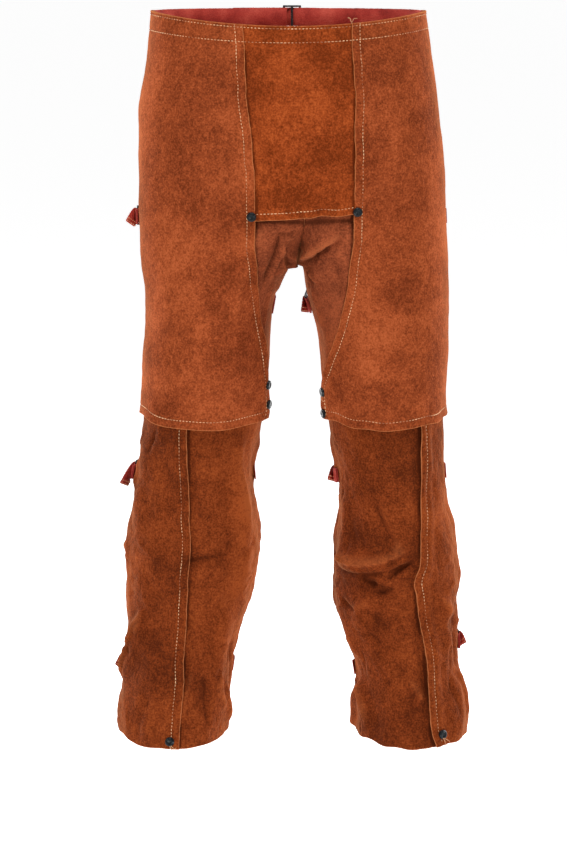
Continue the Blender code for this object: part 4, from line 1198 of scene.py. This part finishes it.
def stitch_tree():
    sizes = {"Pitch": "Float", "Stitch length": "Float", "Thread radius": "Float"}
    tree = NodeTree("stitches", {**sizes, "Seed": "Int", "Material": "Material"})
    radius = tree.input("Thread radius")
    seam = tree.add("GeometryNodeMeshToCurve", Mesh=tree.input("Geometry"))
    places = tree.add("GeometryNodeResampleCurve", {"mode": "LENGTH"}, Curve=seam, Length=tree.input("Pitch"))
    half = tree.input("Stitch length") * 0.5
    start, end = (tree.add("ShaderNodeCombineXYZ", Z=half * side) for side in (-1.0, 1.0))
    thread = tree.add("GeometryNodeCurvePrimitiveLine", Start=start, End=end)
    thread = tree.add("GeometryNodeResampleCurve", {"mode": "COUNT"}, Curve=thread, Count=6)
    off_middle = tree.add("GeometryNodeSplineParameter") * 2.0 - 1.0
    square = off_middle * off_middle
    sunk = tree.add("ShaderNodeCombineXYZ", X=square * (radius * -1.5))
    thread = tree.add("GeometryNodeSetPosition", Geometry=thread, Offset=sunk)
    plump = tree.node("ShaderNodeMath", {"operation": "SQRT"}, {0: 1.08 - square * 0.75})
    ring = tree.add("GeometryNodeCurvePrimitiveCircle", Resolution=6, Radius=radius)
    tube = {"Curve": thread, "Profile Curve": ring, "Scale": plump, "Fill Caps": True}
    stitch = tree.node("GeometryNodeCurveToMesh", {}, tube)
    stitch = tree.add("GeometryNodeSetShadeSmooth", Geometry=stitch)
    turn = tree.aligned("Z", tree.add("GeometryNodeInputTangent"), "X", tree.stored("up"))
    skew = tree.varied((-0.10, -0.06, 0.0), (0.10, 0.06, 0.0))
    skew = tree.node("FunctionNodeEulerToRotation", {}, {0: skew})
    turn = tree.add("FunctionNodeRotateRotation", {"rotation_space": "LOCAL"}, Rotation=turn, Rotate_By=skew)
    size = tree.varied((0.85, 0.85, 0.86), (1.15, 1.15, 1.06))
    return tree.finish(
        tree.add("GeometryNodeInstanceOnPoints", Points=places, Instance=stitch, Rotation=turn, Scale=size)
    )


def thread_finish():
    paint = Paint("cream_thread")
    twist = paint.noise(1500, 1.0)
    dirt = paint.noise(40, 3.0)
    stops = [(0.34, (0.28, 0.08, 0.025)), (0.5, (0.56, 0.28, 0.13)), (0.68, (0.82, 0.52, 0.28))]
    colour = paint.ramp(dirt, stops)
    return paint.feed(Base_Color=colour, Roughness=0.75, Normal=paint.bump(twist, 0.0003, 0.6))


thread = thread_finish()
sewing = stitch_tree()
lengths = {"Pitch": PITCH * MM, "Stitch length": STITCH * MM, "Thread radius": THREAD * MM}
stitch_sizes = {**lengths, "Seed": 4, "Material": thread}
stitches = [sewing.bake(chain_object("stitch_rows", rows_of_stitches), "seam_stitches", stitch_sizes)]

# %% [markdown]
# ## Loose ends
# Where a seam begins or ends the maker leaves a few centimetres of thread. Each is a thin tube through
# a few knots, because a simulated thread would fall differently on every run.

# %% Loose ends of thread
Loose = namedtuple("Loose", "leg angle drop out steps")
LOOSE_ENDS = [
    Loose("right", -14.0, 3, 4.0, [(0, 0, -3), (2, -1, 1), (4, -1, 4), (8, 0, 4)]),
    Loose("right", -13.0, 3, 4.0, [(0, 0, -3), (-2, -1, 1), (-3, 0, 4), (-6, 0, 5)]),
    Loose("right", -66.0, 508, 4.5, [(0, 0, 4), (-3, -2, 2), (-4, -2, -2), (-1, -1, -5), (1, 0, -3)]),
    Loose("left", 1.0, 976, 3.5, [(0, 0, 3), (3, -2, -1), (6, -2, -3), (8, -1, -2)]),
    Loose("left", 1.0, 976, 3.5, [(-1, 0, 2), (1, -2, -3), (3, -1, -6)]),
    Loose("right", 28.0, 969, 3.5, [(0, 0, 3), (3, -2, -2), (4, -2, -7), (8, -1, -8)]),
    Loose("right", 28.5, 969, 3.5, [(0, 0, 2), (5, -2, 0), (9, -1, -3)]),
]
LOOSE_RADIUS, LOOSE_STATIONS, LOOSE_SIDES = 0.42, 14, 6


def along_curve(places, values, wanted):
    """Points or directions at the wanted places of a smooth curve through the given ones."""
    return np.stack([Curve(list(zip(places, values[:, i])))(wanted) for i in range(3)], axis=1)


def tube_faces(stations, sides, first=0):
    """Four-sided faces between rings of points, and a cap at each end."""
    i, j = np.meshgrid(np.arange(stations - 1), np.arange(sides), indexing="ij")
    k = (j + 1) % sides
    corners = [i * sides + j, (i + 1) * sides + j, (i + 1) * sides + k, i * sides + k]
    faces = (first + np.stack(corners, axis=-1).reshape(-1, 4)).tolist()
    last = first + (stations - 1) * sides
    return faces + [list(range(first, first + sides)), list(range(last, last + sides))[::-1]]


def loose_ends(rows):
    """Short tubes of thread, each bent through its steps (millimetres right, back and up)."""
    points, faces = [], []
    turns = np.linspace(0, 2 * np.pi, LOOSE_SIDES, endpoint=False)
    for row in rows:
        knots = legs[row.leg].place(row.angle, row.drop, row.out) + np.array(row.steps) * MM
        line = along_curve(np.linspace(0, 1, len(knots)), knots, np.linspace(0, 1, LOOSE_STATIONS))
        run = np.gradient(line, axis=0)
        side = unit(np.cross(run, (0.2, 1.0, 0.1)))
        up = np.cross(side, unit(run))
        faces += tube_faces(LOOSE_STATIONS, LOOSE_SIDES, len(points))
        for i in range(LOOSE_STATIONS):
            ring = [side[i] * math.cos(turn) + up[i] * math.sin(turn) for turn in turns]
            points += [line[i] + spoke * LOOSE_RADIUS * MM for spoke in ring]
    return closed_mesh("loose_threads", points, faces)


stitches.append(loose_ends(LOOSE_ENDS))
stitches[-1].data.materials.append(thread)
print(f"{len(LOOSE_ENDS)} loose ends")

# %% [markdown]
# ## Webbing
# Leather stretches and stays long, so the legs are held with webbing, sewn to one edge and threaded
# through a slide on the other. A strap is a flat core along its route, and Geometry Nodes lay the
# woven ribs across it. Where it turns back round a bar the outward direction and the route are
# parallel, so there the width keeps the side that it had.

# %% Routes and cores
STRAP_WIDTH, BELT_WIDTH, BELT_SEAM = 20.0, 25.0, 2.0
RIB_PITCH, RIB_RADIUS = 1.7, 0.62 * 1.7
SLIDE_BAR, SLIDE_SLOT, SLIDE_RIM, SLIDE_THICK, SLIDE_PLAY, SLIDE_LIFT = 3.0, 8.0, 2.5, 2.0, 0.8, 3.0
HALF_SLIDE = 1.5 * SLIDE_BAR + SLIDE_SLOT
SLOT_END = HALF_SLIDE - SLIDE_BAR  # from the slide's middle to the far side of a slot
OVER = SLIDE_THICK / 2 + GAP + WEBBING / 2  # from a slide's middle plane to webbing that lies on it
Route = namedtuple("Route", "points across away")


def route(stations, upright, pitch=RIB_PITCH):
    """A smooth route through (point, outward direction) stations, in metres, a rib apart."""
    points, away = (np.array(values) for values in zip(*stations))
    places = np.concatenate([[0], np.cumsum(np.linalg.norm(np.diff(points, axis=0), axis=1))])
    along = np.arange(0, places[-1], pitch * MM)
    points, away = (along_curve(places, values, along) for values in (points, away))
    run = unit(np.gradient(points, axis=0))
    across = np.cross(run, away)
    flat = np.linalg.norm(across, axis=1, keepdims=True) < 0.3
    across = np.where(flat, upright, across)
    across = unit(across * np.sign(across @ upright)[:, None])
    for i in range(1, len(across)):
        across[i] *= 1 if across[i] @ across[i - 1] >= 0 else -1
    return Route(points, across, np.cross(across, run))


def through_slide(at, top):
    """Stations that pass under a slide's far bar, over its middle bar and over its near one."""
    places = [(SLOT_END - 0.6, -OVER), (SLIDE_BAR / 2 + 0.6, OVER), (-SLIDE_BAR / 2, OVER + 0.3)]
    return [at(*place) for place in places + [(-SLOT_END + 3.4, top)]]


def round_bar(at, side):
    """Stations of webbing that turns back round a slide's near bar."""
    turns = np.linspace(0, np.pi, 7)[1:-1]
    return [at(-SLOT_END + OVER * math.sin(turn), side * OVER * math.cos(turn)) for turn in turns]


def band(name, path, width):
    """The flat core of a band, with rounded edges and closed ends."""
    half, thin = width / 2 * MM, 0.38 * WEBBING * MM
    sides = [(-1, 0), (-0.97, 1), (0, 1), (0.97, 1), (1, 0), (0.97, -1), (0, -1), (-0.97, -1)]
    rings = [path.points + path.across * half * a + path.away * thin * b for a, b in sides]
    rings = np.stack(rings, axis=1)
    return closed_mesh(name, rings.reshape(-1, 3), tube_faces(*rings.shape[:2]))


# %% [markdown]
# ## Slides
# A three-bar slide is stamped from sheet steel and its edges are rolled, so it is a flat plate with two
# slots whose edges are beveled. Cutting the slots with a Boolean would leave long thin faces.


# %% Slides
def slide_mesh(name, middle, along, away, inner_width):
    """A flat plate with two slots, its edges rounded with a bevel."""
    across = np.cross(away, along)
    inside = inner_width / 2 + SLIDE_PLAY
    marks = [-HALF_SLIDE, -SLOT_END, -SLIDE_BAR / 2, SLIDE_BAR / 2, SLOT_END, HALF_SLIDE]
    sides = [-inside - SLIDE_RIM, -inside, inside, inside + SLIDE_RIM]
    points = [
        middle + (along * mark + across * side + away * level) * MM
        for level in (SLIDE_THICK / 2, -SLIDE_THICK / 2)
        for side in sides
        for mark in marks
    ]
    cells = {(c, r) for c in range(5) for r in range(3)} - {(1, 1), (3, 1)}  # all but the two slots
    under = len(points) // 2
    faces = []
    for c, r in sorted(cells):
        ring = [r * 6 + c, r * 6 + c + 1, (r + 1) * 6 + c + 1, (r + 1) * 6 + c]
        faces += [ring, [under + i for i in reversed(ring)]]
        for i, cell in enumerate(((c, r - 1), (c + 1, r), (c, r + 1), (c - 1, r))):
            if cell not in cells:
                a, b = ring[i], ring[(i + 1) % 4]
                faces.append([a, b, under + b, under + a])
    item = closed_mesh(name, points, faces)
    build = bmesh.new()
    build.from_mesh(item.data)
    sharp = [edge for edge in build.edges if edge.calc_face_angle(0) > 1.0]
    bmesh.ops.bevel(build, geom=sharp, offset=0.7 * MM, segments=3, affect="EDGES", profile=0.6)
    build.to_mesh(item.data)
    build.free()
    item.data.shade_smooth()
    return item


# %% [markdown]
# ## Where each strap runs
# The three straps of a leg lie at the thigh, the knee and the calf. Each leaves its sewn end on the
# leather, crosses the open back of the leg, passes under, over and over the bars of its slide, and
# ends in a free tail. `set_back` moves the slide round behind the leg, and the last three columns say
# how long the tail is and where it points.

# %% Strap table and free tails
Strap = namedtuple(
    "Strap", "name leg slide_outside drop_inner drop_outer set_back tail_length tail_out tail_down"
)
STRAPS = [
    Strap("thigh_left", "left", True, 388, 268, 0, 14, 0.3, 0.7),
    Strap("knee_left", "left", True, 617, 616, 0, 24, 0.5, 1.1),
    Strap("calf_left", "left", True, 888, 886, 0, 9, 0.15, 0.5),
    Strap("thigh_right", "right", False, 388, 268, 18, 9, 0.1, 1.5),
    Strap("knee_right", "right", False, 620, 616, 8, 10, 0.15, 0.9),
    Strap("calf_right", "right", True, 893, 856, 0, 8, 0.1, 0.5),
]
TAIL_FOLD = 6.5  # how far a tail's end is folded back and sewn
SEWN_LENGTH, OVERHANG = 24, 3  # webbing sewn on the leather, and how far a slide stands past its edge
STRAP_PITCH, TAB_PITCH = 1.4, 1.2


def free_tail(start, heading, facing, aim, length):
    """Stations of a tail that bends from its heading to its aim without twisting, its end folded back."""
    stations, point = [], start
    for i in range(1, 6):
        now = Vector(unit(mix(heading, aim, min(i / 3, 1.0))))
        turned = Vector(heading).rotation_difference(now)
        point = point + np.array(now) * length / 5 * MM
        stations.append((point, np.array(turned @ Vector(facing))))
    now, up = np.array(now), stations[-1][1]
    back = 1.2 * WEBBING * MM
    end = [(point + (now - up) * back / 2, now), (point - up * back, -up)]
    end.append((point - up * back - now * TAIL_FOLD * MM, -up))
    face = -up * (back + 0.75 * WEBBING * MM)
    reach = np.linspace(0.5 - STRAP_WIDTH / 2, STRAP_WIDTH / 2 - 0.5, 8)[:, None] * np.cross(now, up) * MM
    rows = []
    for mm in (0.4, TAIL_FOLD - 2):
        line = point + face - now * mm * MM + reach
        rows.append((line, np.broadcast_to(-up, line.shape)))
    return stations + end, rows


# %% [markdown]
# ## Laying a strap
# On the leather a strap follows the leg's surface and its folds, and behind it spans the open back.
# Near its slide it follows the slide instead, so that it stays square to the bars.


# %% Straps and tabs
def strap_parts(strap, leg):
    """Routes of a strap and of its tab, the slide's middle with its directions, and the tail's stitches."""
    inner_edge = 360 - leg.outline["wrap_in"](strap.drop_inner)
    outer_edge = leg.outline["wrap_out"](strap.drop_outer)
    degrees = math.degrees(1 / leg.oval(strap.drop_inner)[3])
    inwards = (HALF_SLIDE - OVERHANG - strap.set_back) * degrees
    if strap.slide_outside:
        slide_angle, ahead = outer_edge - inwards, 1
        sewn_angle = inner_edge + SEWN_LENGTH * degrees
    else:
        slide_angle, ahead = inner_edge + inwards, -1
        sewn_angle = outer_edge - SEWN_LENGTH * degrees

    def surface(angle, drop):
        behind = soft_step(outer_edge, outer_edge + 40, np.asarray(angle) % 360)[..., None]
        return mix(leg.body(angle, drop), leg.leg_point(angle, drop), behind)

    def station(angle, out):
        share = (angle - outer_edge) / (inner_edge - outer_edge)
        drop = mix(strap.drop_outer, strap.drop_inner, soft_step(-0.1, 1.1, share))
        turned = angle - 360 if angle > 180 else angle
        on_leather = soft_step(outer_edge + 14, outer_edge, angle)
        on_leather = on_leather + soft_step(inner_edge - 14, inner_edge, angle)
        on_panel = LAYER + 0.9 if drop < KNEE_DROP and angle < 180 else 0.0
        edges = np.linspace(drop - STRAP_WIDTH / 2, drop + STRAP_WIDTH / 2, 5)
        raised = leg.relief(np.full(5, turned), edges).max()
        away = leg.normal(turned, drop, surface)
        point = surface(turned, drop) + away * (out + (on_panel + raised) * on_leather)
        return leg.mirrored(point) * MM, leg.mirrored(away)

    def round_leg(mm, out):
        return station(slide_angle + ahead * mm * degrees, out)

    def at_slide(mm, out):
        return middle + (along * mm + away * out) * MM, away

    low = LAP_GAP + WEBBING / 2
    high = low + WEBBING + GAP
    top = OVER + WEBBING + GAP
    middle, away = station(slide_angle, SLIDE_LIFT)
    along = station(slide_angle + ahead, 0)[0] - station(slide_angle - ahead, 0)[0]
    along = unit(along - away * (along @ away))
    far = abs(sewn_angle - slide_angle) / degrees
    path = [round_leg(far - mm, low) for mm in (0, SEWN_LENGTH / 2, SEWN_LENGTH)]
    path += [round_leg(mix(far - 30, HALF_SLIDE + 6, i / 9), low + 0.5) for i in range(1, 9)]
    path += [at_slide(HALF_SLIDE + 1, -OVER), *through_slide(at_slide, top), at_slide(-HALF_SLIDE - 1, top)]
    aim = unit(away * strap.tail_out - along * 0.25 - np.array([0.0, 0.0, strap.tail_down]))
    tail, tail_rows = free_tail(path[-1][0], -along, away, aim, strap.tail_length)

    tab = [round_leg(-HALF_SLIDE - mm, low) for mm in (17, 9)]
    tab += [at_slide(-HALF_SLIDE, -OVER), at_slide(-SLOT_END, -OVER), *round_bar(at_slide, -1)]
    tab += [at_slide(-SLOT_END, OVER), at_slide(-HALF_SLIDE, OVER)]
    tab += [round_leg(-HALF_SLIDE - mm, high) for mm in (9, 17)]
    upright = np.cross(along, away)
    slide = middle, along, away
    return route(path + tail, upright, STRAP_PITCH), route(tab, upright, TAB_PITCH), slide, tail_rows


# %% [markdown]
# ## The belt
# It is sewn inside the waist edge all the way round the front, and closes behind. Numbers in its route
# are millimetres from the middle of its slide.


# %% Belt route
def belt_route():
    """Inside the waist edge, round the open back to the belt's slide, and on as a tail."""
    low = BELT_DROP - BELT_SEAM - BELT_WIDTH / 2
    inside = -LEATHER - GAP - WEBBING / 2 - 0.2
    level = legs["left"].row_drop(WAIST_DROP, np.array(90.0)) + low

    def around(leg, angle):
        drop = leg.row_drop(WAIST_DROP, np.array(min(angle, 90.0))) + low
        return leg.place(angle, drop, inside), leg.away(angle, drop)

    def behind(x, out):
        leg = legs["right" if x > 0 else "left"]
        depth = leg.hip_depth(True, np.array(float(x)), level)
        return np.array([x, depth + out, -level]) * MM, np.array([0.0, 1.0, 0.0])

    def side(leg, inner_x):
        start = 180 - leg.angle_at(inner_x, level)
        return [around(leg, angle) for angle in np.linspace(start, -89.0, 46)]

    top = 2 * OVER + 0.2
    path = [behind(x, OVER) for x in (-34, -22, -SLOT_END)] + round_bar(behind, 1)
    path += [behind(x, -OVER) for x in (-SLOT_END, -22, -34)]
    path += side(legs["left"], 48) + side(legs["right"], 36)[-2::-1]
    path += [behind(24, -OVER), *through_slide(behind, top)]
    path += [behind(x, top) for x in (-22, -34, -46, -62, -80)]
    return route(path, np.array([0.0, 0.0, 1.0])), behind(0, 0)


# %% [markdown]
# ## Every band and slide
# Each piece is kept with the name of the solid that it stands for.

# %% Lay the bands and make the slides
routes, metal, tail_stitches = {}, {}, []
for strap in STRAPS:
    strap_path, tab_path, slide, tail_rows = strap_parts(strap, legs[strap.leg])
    tail_stitches += tail_rows
    routes[f"band_{strap.name}"] = (strap_path, STRAP_WIDTH, f"strap_{strap.name}")
    routes[f"loop_{strap.name}"] = (tab_path, STRAP_WIDTH - 1, f"tab_{strap.name}")
    name = f"buckle_{strap.name}"
    metal[name] = (slide_mesh(name, *slide, STRAP_WIDTH), f"slide_{strap.name}")
belt_path, (middle, away) = belt_route()
routes["band_waist"] = (belt_path, BELT_WIDTH, "waist_belt")
metal["buckle_belt"] = (
    slide_mesh("buckle_belt", middle, np.array([-1.0, 0, 0]), away, BELT_WIDTH),
    "slide_belt",
)
stitches.append(sewing.bake(chain_object("tail_rows", tail_stitches), "tail_stitches", stitch_sizes))
print(f"{len(routes)} bands, {len(metal)} slides")

# %% [markdown]
# ## Snaps
# A snap's cap is turned: a profile swept round, with a rolled rim and a shallow dish. It sits on the
# highest leather under it, which is found by casting rays, because the leather there isn't flat.

# %% Snaps
Snap = namedtuple("Snap", "name leg angle drop sits_on")
SNAPS = [
    Snap("flap_left", "left", -21.7, 257, "thigh_guard"),
    Snap("flap_right", "right", -15.5, 251, "thigh_guard"),
    Snap("knee_upper_left", "left", -64.5, 490, "thigh_guard"),
    Snap("knee_lower_left", "left", -68.0, 517, "thigh_guard"),
    Snap("knee_upper_right", "right", -65.5, 500, "thigh_guard"),
    Snap("knee_lower_right", "right", -67.0, 529, "thigh_guard"),
    Snap("hem_left", "left", 1.5, 970, "outer_leg"),
    Snap("hem_right", "right", 28.5, 963, "outer_leg"),
]
SNAP_RADIUS, SNAP_HEIGHT = 6.4, 2.6
SNAP_FOOT, SNAP_DISH = -0.6, 0.82  # heights at the middle of the cap's underside and of its dish
SNAP_PROFILE = [(0.95, -0.6), (1.0, 0.1), (0.99, 0.35), (0.93, 0.62), (0.84, 0.84), (0.7, 0.97)]
SNAP_PROFILE += [(0.58, 1.0), (0.48, 0.97), (0.38, 0.88), (0.2, 0.83)]


def snap_mesh(name, snap):
    leg = legs[snap.leg]
    away = Vector(leg.away(snap.angle, snap.drop))
    across = away.orthogonal().normalized()
    up = away.cross(across)
    foot = Vector(leg.place(snap.angle, snap.drop, 0.0))
    below = items[f"{snap.sits_on}_{snap.leg}"]
    turns = np.linspace(0, 2 * np.pi, 48, endpoint=False)
    spokes = [across * math.cos(turn) + up * math.sin(turn) for turn in turns]
    heights = []
    for share in (0.2, 0.6, 1.0):
        for spoke in spokes[::4]:
            start = foot + spoke * (share * SNAP_RADIUS * MM) + away * 0.012
            hit, place, _, _ = below.ray_cast(start, -away)
            if hit:
                heights.append((place - foot).dot(away))
    foot = foot + away * (sorted(heights)[-4] + 0.2 * MM)
    points, faces = [], []
    for radius, height in SNAP_PROFILE:
        out, rise = radius * SNAP_RADIUS, away * height * SNAP_HEIGHT
        points += [foot + (spoke * out + rise) * MM for spoke in spokes]
    sides, last = len(spokes), len(points)
    points += [foot + away * (height * SNAP_HEIGHT * MM) for height in (SNAP_FOOT, SNAP_DISH)]
    for i in range(sides):
        j = (i + 1) % sides
        faces.append([j, i, last])
        faces.append([last - sides + i, last - sides + j, last + 1])
        faces += [[r + i, r + j, r + sides + j, r + sides + i] for r in range(0, last - sides, sides)]
    return closed_mesh(name, [tuple(point) for point in points], faces)


snaps = {f"cap_{snap.name}": (snap_mesh(f"cap_{snap.name}", snap), f"snap_{snap.name}") for snap in SNAPS}
print(f"{len(snaps)} snaps")

# %% [markdown]
# ## Weaving the bands
# A rib is a thin flattened rod across the band. The tree lays one on each point of the route, turned
# with the webbing, and joins them with the flat core.


# %% Webbing tree, webbing and metal
def webbing_tree():
    """Woven ribs across a band's core."""
    sizes = {"Width": "Float", "Rib radius": "Float"}
    tree = NodeTree("webbing", {**sizes, "Core": "Object", "Seed": "Int", "Material": "Material"})
    radius = tree.input("Rib radius")
    half = tree.input("Width") * 0.5
    form = {"Vertices": 6, "Side Segments": 2, "Radius": 1.0, "Depth": 2.0}
    rib = tree.node("GeometryNodeMeshCylinder", {}, form)
    size = tree.add("ShaderNodeCombineXYZ", X=radius, Y=radius * 0.72, Z=half)
    rib = tree.add("GeometryNodeTransform", Geometry=rib, Scale=size)
    rib = tree.add("GeometryNodeSetShadeSmooth", Geometry=rib)
    turn = tree.aligned("Z", tree.stored("across"), "Y", tree.stored("up"))
    swell = tree.varied((0.94, 0.9, 0.985), (1.04, 1.1, 1.01))
    places = tree.input("Geometry")
    ribs = tree.add("GeometryNodeInstanceOnPoints", Points=places, Instance=rib, Rotation=turn, Scale=swell)
    core = tree.add("GeometryNodeObjectInfo", output="Geometry", Object=tree.input("Core"))
    both = tree.add("GeometryNodeJoinGeometry", Geometry=ribs)
    tree.tree.links.new(core.socket, both.socket.node.inputs[0])
    return tree.finish(both)


def webbing_finish():
    paint = Paint("red_webbing")
    yarn = paint.noise(900)
    faded = paint.noise(30, 3.0)
    tone = 0.5 + (yarn - 0.5) * 0.5 + (faded - 0.5) * 0.8
    stops = [(0.3, (0.20, 0.018, 0.014)), (0.5, (0.36, 0.040, 0.028)), (0.7, (0.52, 0.09, 0.06))]
    colour = paint.ramp(tone, stops)
    return paint.feed(
        Base_Color=colour,
        Roughness=0.8,
        Normal=paint.bump(yarn, 0.0004, 0.6),
        Sheen_Weight=0.04,
        Sheen_Roughness=0.4,
        Sheen_Tint=(1.0, 0.4, 0.25, 1.0),
        Specular_IOR_Level=0.12,
    )


def metal_finish(name, base, worn, roughness):
    """Blackened steel, rubbed bright in places."""
    paint = Paint(name)
    rub = paint.between(paint.noise(260, 4.0, 0.6), 0.50, 0.72)
    dust = paint.noise(90, 3.0)
    shine = roughness + (dust - 0.5) * 0.35
    colour = paint.blend(rub, base, worn)
    return paint.feed(Base_Color=colour, Roughness=shine, Metallic=0.85, Normal=paint.bump(dust, 0.0003, 0.3))


# %% [markdown]
# ## Bands and finishes
# The tree is run once for each band, and the results are plain meshes.

# %% Bake the webbing
webbing = webbing_finish()
weave = webbing_tree()
bands = {}
for seed, (name, (path, width, node)) in enumerate(routes.items()):
    core = band(f"{name}_core", path, width - 0.6)
    line = mesh_of(name, path.points)
    store(line, across=path.across, up=path.away)
    sizes = {"Width": width * MM, "Rib radius": RIB_RADIUS * MM, "Core": core, "Seed": seed}
    source = add_object(f"{name}_line", line)
    bands[name] = (weave.bake(source, name, {**sizes, "Material": webbing}), node)
    bpy.data.objects.remove(core)
steel = metal_finish("dark_slide_steel", (0.035, 0.035, 0.04), (0.25, 0.24, 0.23), 0.42)
enamel = metal_finish("black_snap_enamel", (0.012, 0.015, 0.017), (0.07, 0.075, 0.078), 0.38)
for group, finish in ((metal, steel), (snaps, enamel)):
    for item, _ in group.values():
        item.data.materials.append(finish)

# %% [markdown]
# ## Stage and light
# A pale floor a little below the hems, a bright even surround, and a large soft light from each side,
# as in a catalogue photograph. Hard lights would cut the nap into glare.

# %% Stage
FLOOR_LEVEL = -1.085
FLOOR_GLOW, SURROUND = 0.76, 0.24
LAMPS = [
    # name, place, size and power
    ("key", (-3.0, -2.7, 1.5), (1.3, 1.6), 35.5),
    ("fill", (3.0, -2.7, 0.9), (1.4, 1.8), 20),
    ("top", (0.1, -1.5, 2.5), (1.6, 0.8), 71),
    ("rim_left", (-2.0, 1.5, 0.0), (0.7, 2.2), 78),
    ("rim_right", (2.0, 1.5, 0.0), (0.7, 2.2), 78),
]
GARMENT_MIDDLE = Vector((0.0, 0.0, -0.5))


def pale_floor(reach=60.0):
    turns = np.linspace(0, 2 * np.pi, 48, endpoint=False)
    corners = [(reach * math.cos(turn), reach * math.sin(turn), FLOOR_LEVEL) for turn in turns]
    floor = add_object("floor", mesh_of("floor", corners, [list(range(len(corners)))]))
    white, pale = (1.0, 1.0, 1.0, 1.0), (0.9, 0.9, 0.9, 1.0)
    paint = Paint("pale_floor")
    shade = paint.feed(Base_Color=pale, Roughness=0.9, Emission_Color=white, Emission_Strength=FLOOR_GLOW)
    floor.data.materials.append(shade)


def soft_light(name, place, size, power):
    lamp = bpy.data.lights.new(name, "AREA")
    lamp.shape, lamp.size, lamp.size_y, lamp.energy = "RECTANGLE", size[0], size[1], power
    item = add_object(name, lamp)
    item.location = place
    item.rotation_euler = (GARMENT_MIDDLE - Vector(place)).to_track_quat("-Z", "Y").to_euler()


pale_floor()
for lamp in LAMPS:
    soft_light(*lamp)
world = bpy.data.worlds.new("surround")
world.use_nodes = True
backdrop = world.node_tree.nodes["Background"].inputs
backdrop["Color"].default_value = (1.0, 1.0, 1.0, 1.0)
backdrop["Strength"].default_value = SURROUND
bpy.context.scene.world = world
bpy.context.scene.view_settings.view_transform = "Standard"
print(f"{len(LAMPS)} soft lights")

# %% [markdown]
# ## Camera
# It looks a little down from over four metres away with a long lens, so the two legs keep their true
# widths. Standing closer would make the waist look larger than the hems.

# %% Camera
TILT, FRAME_HEIGHT, LENS = 9.0, 36.0, 139.625
CAMERA_PLACE = (-0.0116, -4.444598, 0.150455)
camera = bpy.data.cameras.new("camera")
camera.sensor_fit, camera.sensor_height, camera.lens = "VERTICAL", FRAME_HEIGHT, LENS
eye = add_object("camera", camera)
eye.location = CAMERA_PLACE
eye.rotation_euler = (math.radians(90 - TILT), 0.0, 0.0)
bpy.context.scene.camera = eye
print(f"lens {LENS:.0f} mm")

# %% [markdown]
# ## Attach the pieces
# Every piece rides on the one body, and the solid that it stands for is hidden.

# %% Attach and hide
COVERS = {
    "inner_leg": ("leg_inner", "suede_lower"),
    "outer_leg": ("leg_outer", "suede_lower"),
    "thigh_guard": ("thigh_panel", "suede_upper"),
}
for name, item in items.items():
    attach(item, "root")
    if name == "apron_flap":
        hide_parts("fly_flap")
    else:
        stem, side = name.rsplit("_", 1)
        node, slot = COVERS[stem]
        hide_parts(f"{node}_{side}")
    width, length, area = (float(size) for size in cuts[name])
for item in stitches:
    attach(item, "root")
for group, slot in ((bands, "webbing"), (metal, "slide_steel"), (snaps, "snap_black")):
    for item, node in group.values():
        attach(item, "root")
        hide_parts(node)
